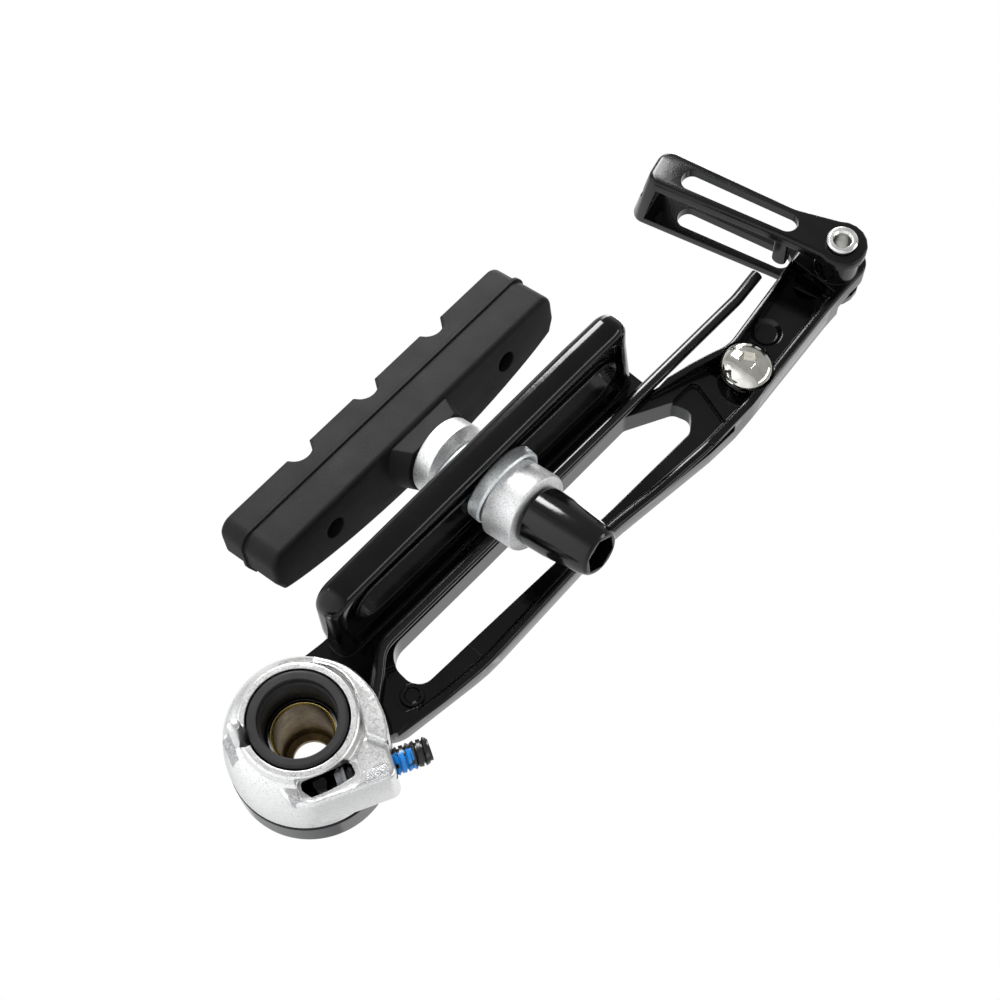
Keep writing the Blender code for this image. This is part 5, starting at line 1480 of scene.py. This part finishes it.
def bring_out(working, name, material):
    """A visible piece in its finish from a working shape; the workshop is cleared."""
    mesh = plain_mesh(working, name)
    clear_workshop()
    mesh.materials.clear()
    mesh.materials.append(material)
    made = bpy.data.objects.new(name, mesh)
    bpy.context.scene.collection.objects.link(made)
    return made


def dress(working, name, node, body, material):
    """A finished piece that rides on its body and stands for its node."""
    made = bring_out(working, name, material)
    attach(made, body)
    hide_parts(node)
    return made


def thread_tree():
    """Geometry nodes for a screw thread: a wire of four sides wound round a core."""
    tree = bpy.data.node_groups.new("screw_thread", "GeometryNodeTree")
    for name in ("Radius", "Length", "Pitch", "Depth"):
        tree.interface.new_socket(name, in_out="INPUT", socket_type="NodeSocketFloat")
    tree.interface.new_socket("Finish", in_out="INPUT", socket_type="NodeSocketMaterial")
    tree.interface.new_socket("Geometry", in_out="OUTPUT", socket_type="NodeSocketGeometry")
    node = tree.nodes.new
    join_sockets = tree.links.new
    enter = node("NodeGroupInput")
    leave = node("NodeGroupOutput")
    turns = node("ShaderNodeMath")
    turns.operation = "DIVIDE"
    join_sockets(enter.outputs["Length"], turns.inputs[0])
    join_sockets(enter.outputs["Pitch"], turns.inputs[1])
    spiral = node("GeometryNodeCurveSpiral")
    spiral.inputs["Resolution"].default_value = 28
    join_sockets(turns.outputs[0], spiral.inputs["Rotations"])
    join_sockets(enter.outputs["Radius"], spiral.inputs["Start Radius"])
    join_sockets(enter.outputs["Radius"], spiral.inputs["End Radius"])
    join_sockets(enter.outputs["Length"], spiral.inputs["Height"])
    ridge = node("GeometryNodeCurvePrimitiveCircle")
    ridge.mode = "RADIUS"
    ridge.inputs["Resolution"].default_value = 4
    join_sockets(enter.outputs["Depth"], ridge.inputs["Radius"])
    sweep = node("GeometryNodeCurveToMesh")
    sweep.inputs["Fill Caps"].default_value = True
    join_sockets(spiral.outputs["Curve"], sweep.inputs["Curve"])
    join_sockets(ridge.outputs["Curve"], sweep.inputs["Profile Curve"])
    real = node("GeometryNodeRealizeInstances")
    join_sockets(sweep.outputs["Mesh"], real.inputs["Geometry"])
    finish_node = node("GeometryNodeSetMaterial")
    join_sockets(real.outputs["Geometry"], finish_node.inputs["Geometry"])
    join_sockets(enter.outputs["Finish"], finish_node.inputs["Material"])
    join_sockets(finish_node.outputs["Geometry"], leave.inputs["Geometry"])
    return tree


def threaded(name, place, radius, length, pitch, depth, material, body):
    """A wound thread on a rod: its ridge stands between the root and the rod's own radius."""
    holder = bpy.data.objects.new(name, bpy.data.meshes.new(name))
    WORKSHOP.objects.link(holder)
    wound = holder.modifiers.new("thread", "NODES")
    wound.node_group = thread_tree()
    sockets = {item.name: item.identifier for item in wound.node_group.interface.items_tree
               if item.in_out == "INPUT"}
    sizes = {"Radius": radius, "Length": length, "Pitch": pitch, "Depth": depth, "Finish": material}
    for socket, value in sizes.items():
        wound[sockets[socket]] = value
    holder.matrix_world = place
    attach(bring_out(holder, name, material), body)


def finished_screw(material):
    """Grub screw: a slimmer core with its socket, and the wound thread round it."""
    depth = THREAD_DEPTH
    core = dress(make_tension_screw(), "tension_grub", "tension_screw", "tension_screw", material)
    middle = screw_place().inverted()
    for corner in core.data.vertices:
        spot = middle @ corner.co
        reach = math.hypot(spot.x, spot.y)
        if reach > SCREW_RADIUS - 1.5 * depth:
            shrink = (SCREW_RADIUS - 1.2 * depth) / reach
            corner.co = screw_place() @ Vector((spot.x * shrink, spot.y * shrink, spot.z))
    thread_place = screw_place() @ Matrix.Translation((0, 0, SCREW_START + 0.0007))
    threaded("tension_thread", thread_place, SCREW_RADIUS - depth, SCREW_LENGTH - 0.0010,
             THREAD_PITCH, depth, material, "tension_screw")


def finished_link(material):
    """The link, a little wider and longer towards its end wall than the solid."""
    link = dress(make_link(), "link_plate", "noodle_link", "link", material)
    place = link_place()
    for corner in link.data.vertices:
        spot = place.inverted() @ corner.co
        share = max(spot.x - FLARE_START, 0) / (LINK_LENGTH - FLARE_START)
        beyond = max(spot.x - LINK_SLOT_FAR, 0) / (LINK_LENGTH - LINK_SLOT_FAR)
        spot.z += (spot.z - LINK_MIDDLE) / LINK_HALF_WIDTH * FLARE_WIDTH * share ** 2
        spot.x += FLARE_LENGTH * beyond
        corner.co = place @ spot
    link.data.update()


def finished_spring(material):
    """Round spring wire along the same path as the solid."""
    made = bring_out(make_spring(), "spring_wire", material)
    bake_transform(made)
    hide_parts("return_spring")


def make_pieces():
    """Every visible piece in its finish."""
    arm_black = gloss_black("arm_paint", low=0.08, high=0.17)
    link_black = gloss_black("link_paint", low=0.12, high=0.24, specular=0.35, edge=0.00018)
    nut_black = gloss_black("nut_paint", low=0.08, high=0.18, specular=0.42, edge=0.00020)
    zinc = zinc_plate("washer_zinc", tint=(0.98, 0.98, 0.98), low=0.36, high=0.60)
    cool_zinc = zinc_plate("cup_zinc", tint=(0.94, 0.97, 0.98), low=0.34, high=0.58)
    dress(finished_housing(), "housing_casting", "spring_housing", "housing",
          cast_aluminium("housing_cast"))
    dress(make_collar(), "collar_ring", "hub_collar", "housing", dark_plastic("collar_plastic"))
    finished_spring(spring_steel("spring_black"))
    finished_screw(screw_black("grub_black"))
    dress(finished_arm(), "arm_casting", "brake_arm", "arm", arm_black)
    dress(finished_bush(), "bush_brass", "pivot_bush", "arm", bush_bronze("bush_bronze"))
    nickel = bright_plate("button_nickel", (0.88, 0.86, 0.80), low=0.07, high=0.14,
                          grain_strength=0.02, edge=0.00008)
    dress(make_stop_screw(), "stop_button", "spring_stop_screw", "arm", nickel)
    finished_link(link_black)
    dress(make_rivet(), "rivet_tube", "link_rivet", "arm",
          bright_plate("rivet_zinc", (0.90, 0.90, 0.88), low=0.18, high=0.32))
    dress(make_cup("cup", -1), "cup_by_nut", "nut_side_cup_washer", "pad_carriage", cool_zinc)
    dress(make_cup("cup", 1), "cup_by_pad", "pad_side_cup_washer", "pad_carriage", cool_zinc)
    dress(make_dome("dome", -1, NUT_DOME_BACK), "dome_by_nut", "nut_side_dome_washer", "pad_unit",
          zinc)
    dress(make_dome("dome", 1, PAD_DOME_BACK), "dome_by_pad", "pad_side_dome_washer", "pad_unit",
          zinc)
    dress(make_nut(), "nut_barrel", "pad_nut", "pad_unit", nut_black)
    dress(make_pad(), "pad_block", "pad_rubber", "pad_unit", moulded_rubber("pad_compound"))
    steel = bright_plate("plain_steel", (0.62, 0.62, 0.62), low=0.25, high=0.4, grain_strength=0.15)
    for node in ("pad_insert", "pad_stud"):
        solid = frame["nodes"][node]
        solid.data.materials.clear()
        solid.data.materials.append(steel)


# Stage

BACKDROP = (0.3037, -0.9104, 0.2810)    # the white backdrop stands this way from the part
ROOM = 0.36                             # what gloss sees of the room in front of it
FILL = 0.62                             # what plain surfaces get from all round
FLOOR_REACH = 1.2
FLOOR_Z = -0.125


def white_world():
    """White for the camera and for glass, a backdrop for gloss, and a mild grey fill elsewhere."""
    world = bpy.data.worlds.new("studio")
    bpy.context.scene.world = world
    world.use_nodes = True
    tree = world.node_tree
    tree.nodes.clear()

    def background(strength, tint=(1, 1, 1)):
        made = tree.nodes.new("ShaderNodeBackground")
        made.inputs["Color"].default_value = (*tint, 1)
        made.inputs["Strength"].default_value = strength
        return made

    def blend(amount, first, second):
        made = tree.nodes.new("ShaderNodeMixShader")
        tree.links.new(amount, made.inputs[0])
        tree.links.new(first.outputs[0], made.inputs[1])
        tree.links.new(second.outputs[0], made.inputs[2])
        return made

    rays = tree.nodes.new("ShaderNodeLightPath")
    seen = tree.nodes.new("ShaderNodeMath")
    seen.operation = "MAXIMUM"
    tree.links.new(rays.outputs["Is Camera Ray"], seen.inputs[0])
    tree.links.new(rays.outputs["Is Transmission Ray"], seen.inputs[1])
    place = tree.nodes.new("ShaderNodeTexCoord")
    towards = tree.nodes.new("ShaderNodeVectorMath")
    towards.operation = "DOT_PRODUCT"
    towards.inputs[1].default_value = BACKDROP
    tree.links.new(place.outputs["Generated"], towards.inputs[0])
    shade = tree.nodes.new("ShaderNodeMapRange")
    shade.interpolation_type = "SMOOTHSTEP"
    shade.inputs["From Min"].default_value = 0.10
    shade.inputs["From Max"].default_value = 0.75
    tree.links.new(towards.outputs["Value"], shade.inputs["Value"])
    backdrop = blend(shade.outputs["Result"], background(ROOM), background(1.0))
    fill = blend(rays.outputs["Is Glossy Ray"], background(FILL, (0.96, 0.98, 1.0)), backdrop)
    white = blend(seen.outputs[0], fill, background(1.0))
    out = tree.nodes.new("ShaderNodeOutputWorld")
    tree.links.new(white.outputs[0], out.inputs["Surface"])


def pale_floor():
    """Plain pale floor under the hanging part."""
    mesh = bpy.data.meshes.new("floor")
    low, high = -FLOOR_REACH, FLOOR_REACH
    corners = [(x, y, FLOOR_Z) for x, y in ((low, low), (high, low), (high, high), (low, high))]
    mesh.from_pydata(corners, [], [(0, 1, 2, 3)])
    floor = bpy.data.objects.new("floor", mesh)
    material = bpy.data.materials.new("floor_paper")
    material.use_nodes = True
    shader = material.node_tree.nodes["Principled BSDF"]
    shader.inputs["Base Color"].default_value = (0.86, 0.86, 0.86, 1)
    shader.inputs["Roughness"].default_value = 0.9
    mesh.materials.append(material)
    bpy.context.scene.collection.objects.link(floor)


def soft_lamp(name, place, size, watts):
    """A soft lamp of a width and a height that faces the part."""
    data = bpy.data.lights.new(name, "AREA")
    data.shape = "RECTANGLE"
    data.size, data.size_y = size
    data.energy = watts
    lamp = bpy.data.objects.new(name, data)
    lamp.location = place
    lamp.rotation_euler = (MIDDLE - place).to_track_quat("-Z", "Y").to_euler()
    bpy.context.scene.collection.objects.link(lamp)


CAMERA_PLACE = Vector((-0.081878, 0.252320, -0.036804))
CAMERA_RIGHT = Vector((-0.72227, -0.02766, 0.69106))
CAMERA_UP = Vector((0.62136, 0.41282, 0.66595))
CAMERA_AHEAD = Vector((0.30370, -0.91039, 0.28098))
CAMERA_LENS = 72.355                    # in mm, on a sensor 36 mm wide
MIDDLE = Vector((0.002, -0.008, 0.050))     # middle of the part, which the lamps face


def from_camera(right, up, ahead):
    """A point given by the photographer: metres to the right, up and ahead of the camera."""
    return CAMERA_PLACE + CAMERA_RIGHT * right + CAMERA_UP * up + CAMERA_AHEAD * ahead


def set_camera():
    """The photograph's viewing angle."""
    data = bpy.data.cameras.new("photo_camera")
    data.lens = CAMERA_LENS
    data.sensor_width = 36.0
    data.sensor_fit = "HORIZONTAL"
    data.clip_start = 0.01
    camera = bpy.data.objects.new("photo_camera", data)
    columns = Matrix((CAMERA_RIGHT, CAMERA_UP, -CAMERA_AHEAD)).transposed().to_4x4()
    camera.matrix_world = Matrix.Translation(CAMERA_PLACE) @ columns
    bpy.context.scene.collection.objects.link(camera)
    bpy.context.scene.camera = camera


def light_studio():
    """A soft lamp over the part, a tall one on either side and a long dim one behind it."""
    soft_lamp("over", from_camera(-0.09, 0.40, 0.19), size=(0.24, 0.12), watts=2.2)
    soft_lamp("left", from_camera(-0.40, 0.05, 0.10), size=(0.09, 0.40), watts=1.1)
    soft_lamp("right", from_camera(0.36, -0.06, 0.20), size=(0.06, 0.40), watts=0.35)
    soft_lamp("behind", from_camera(0.05, 0.26, 0.52), size=(0.50, 0.08), watts=0.5)


make_pieces()
white_world()
pale_floor()
light_studio()
set_camera()
bpy.context.scene.view_settings.view_transform = "Standard"
for spare in (WORKSHOP, CUTTERS):
    bpy.data.collections.remove(spare)
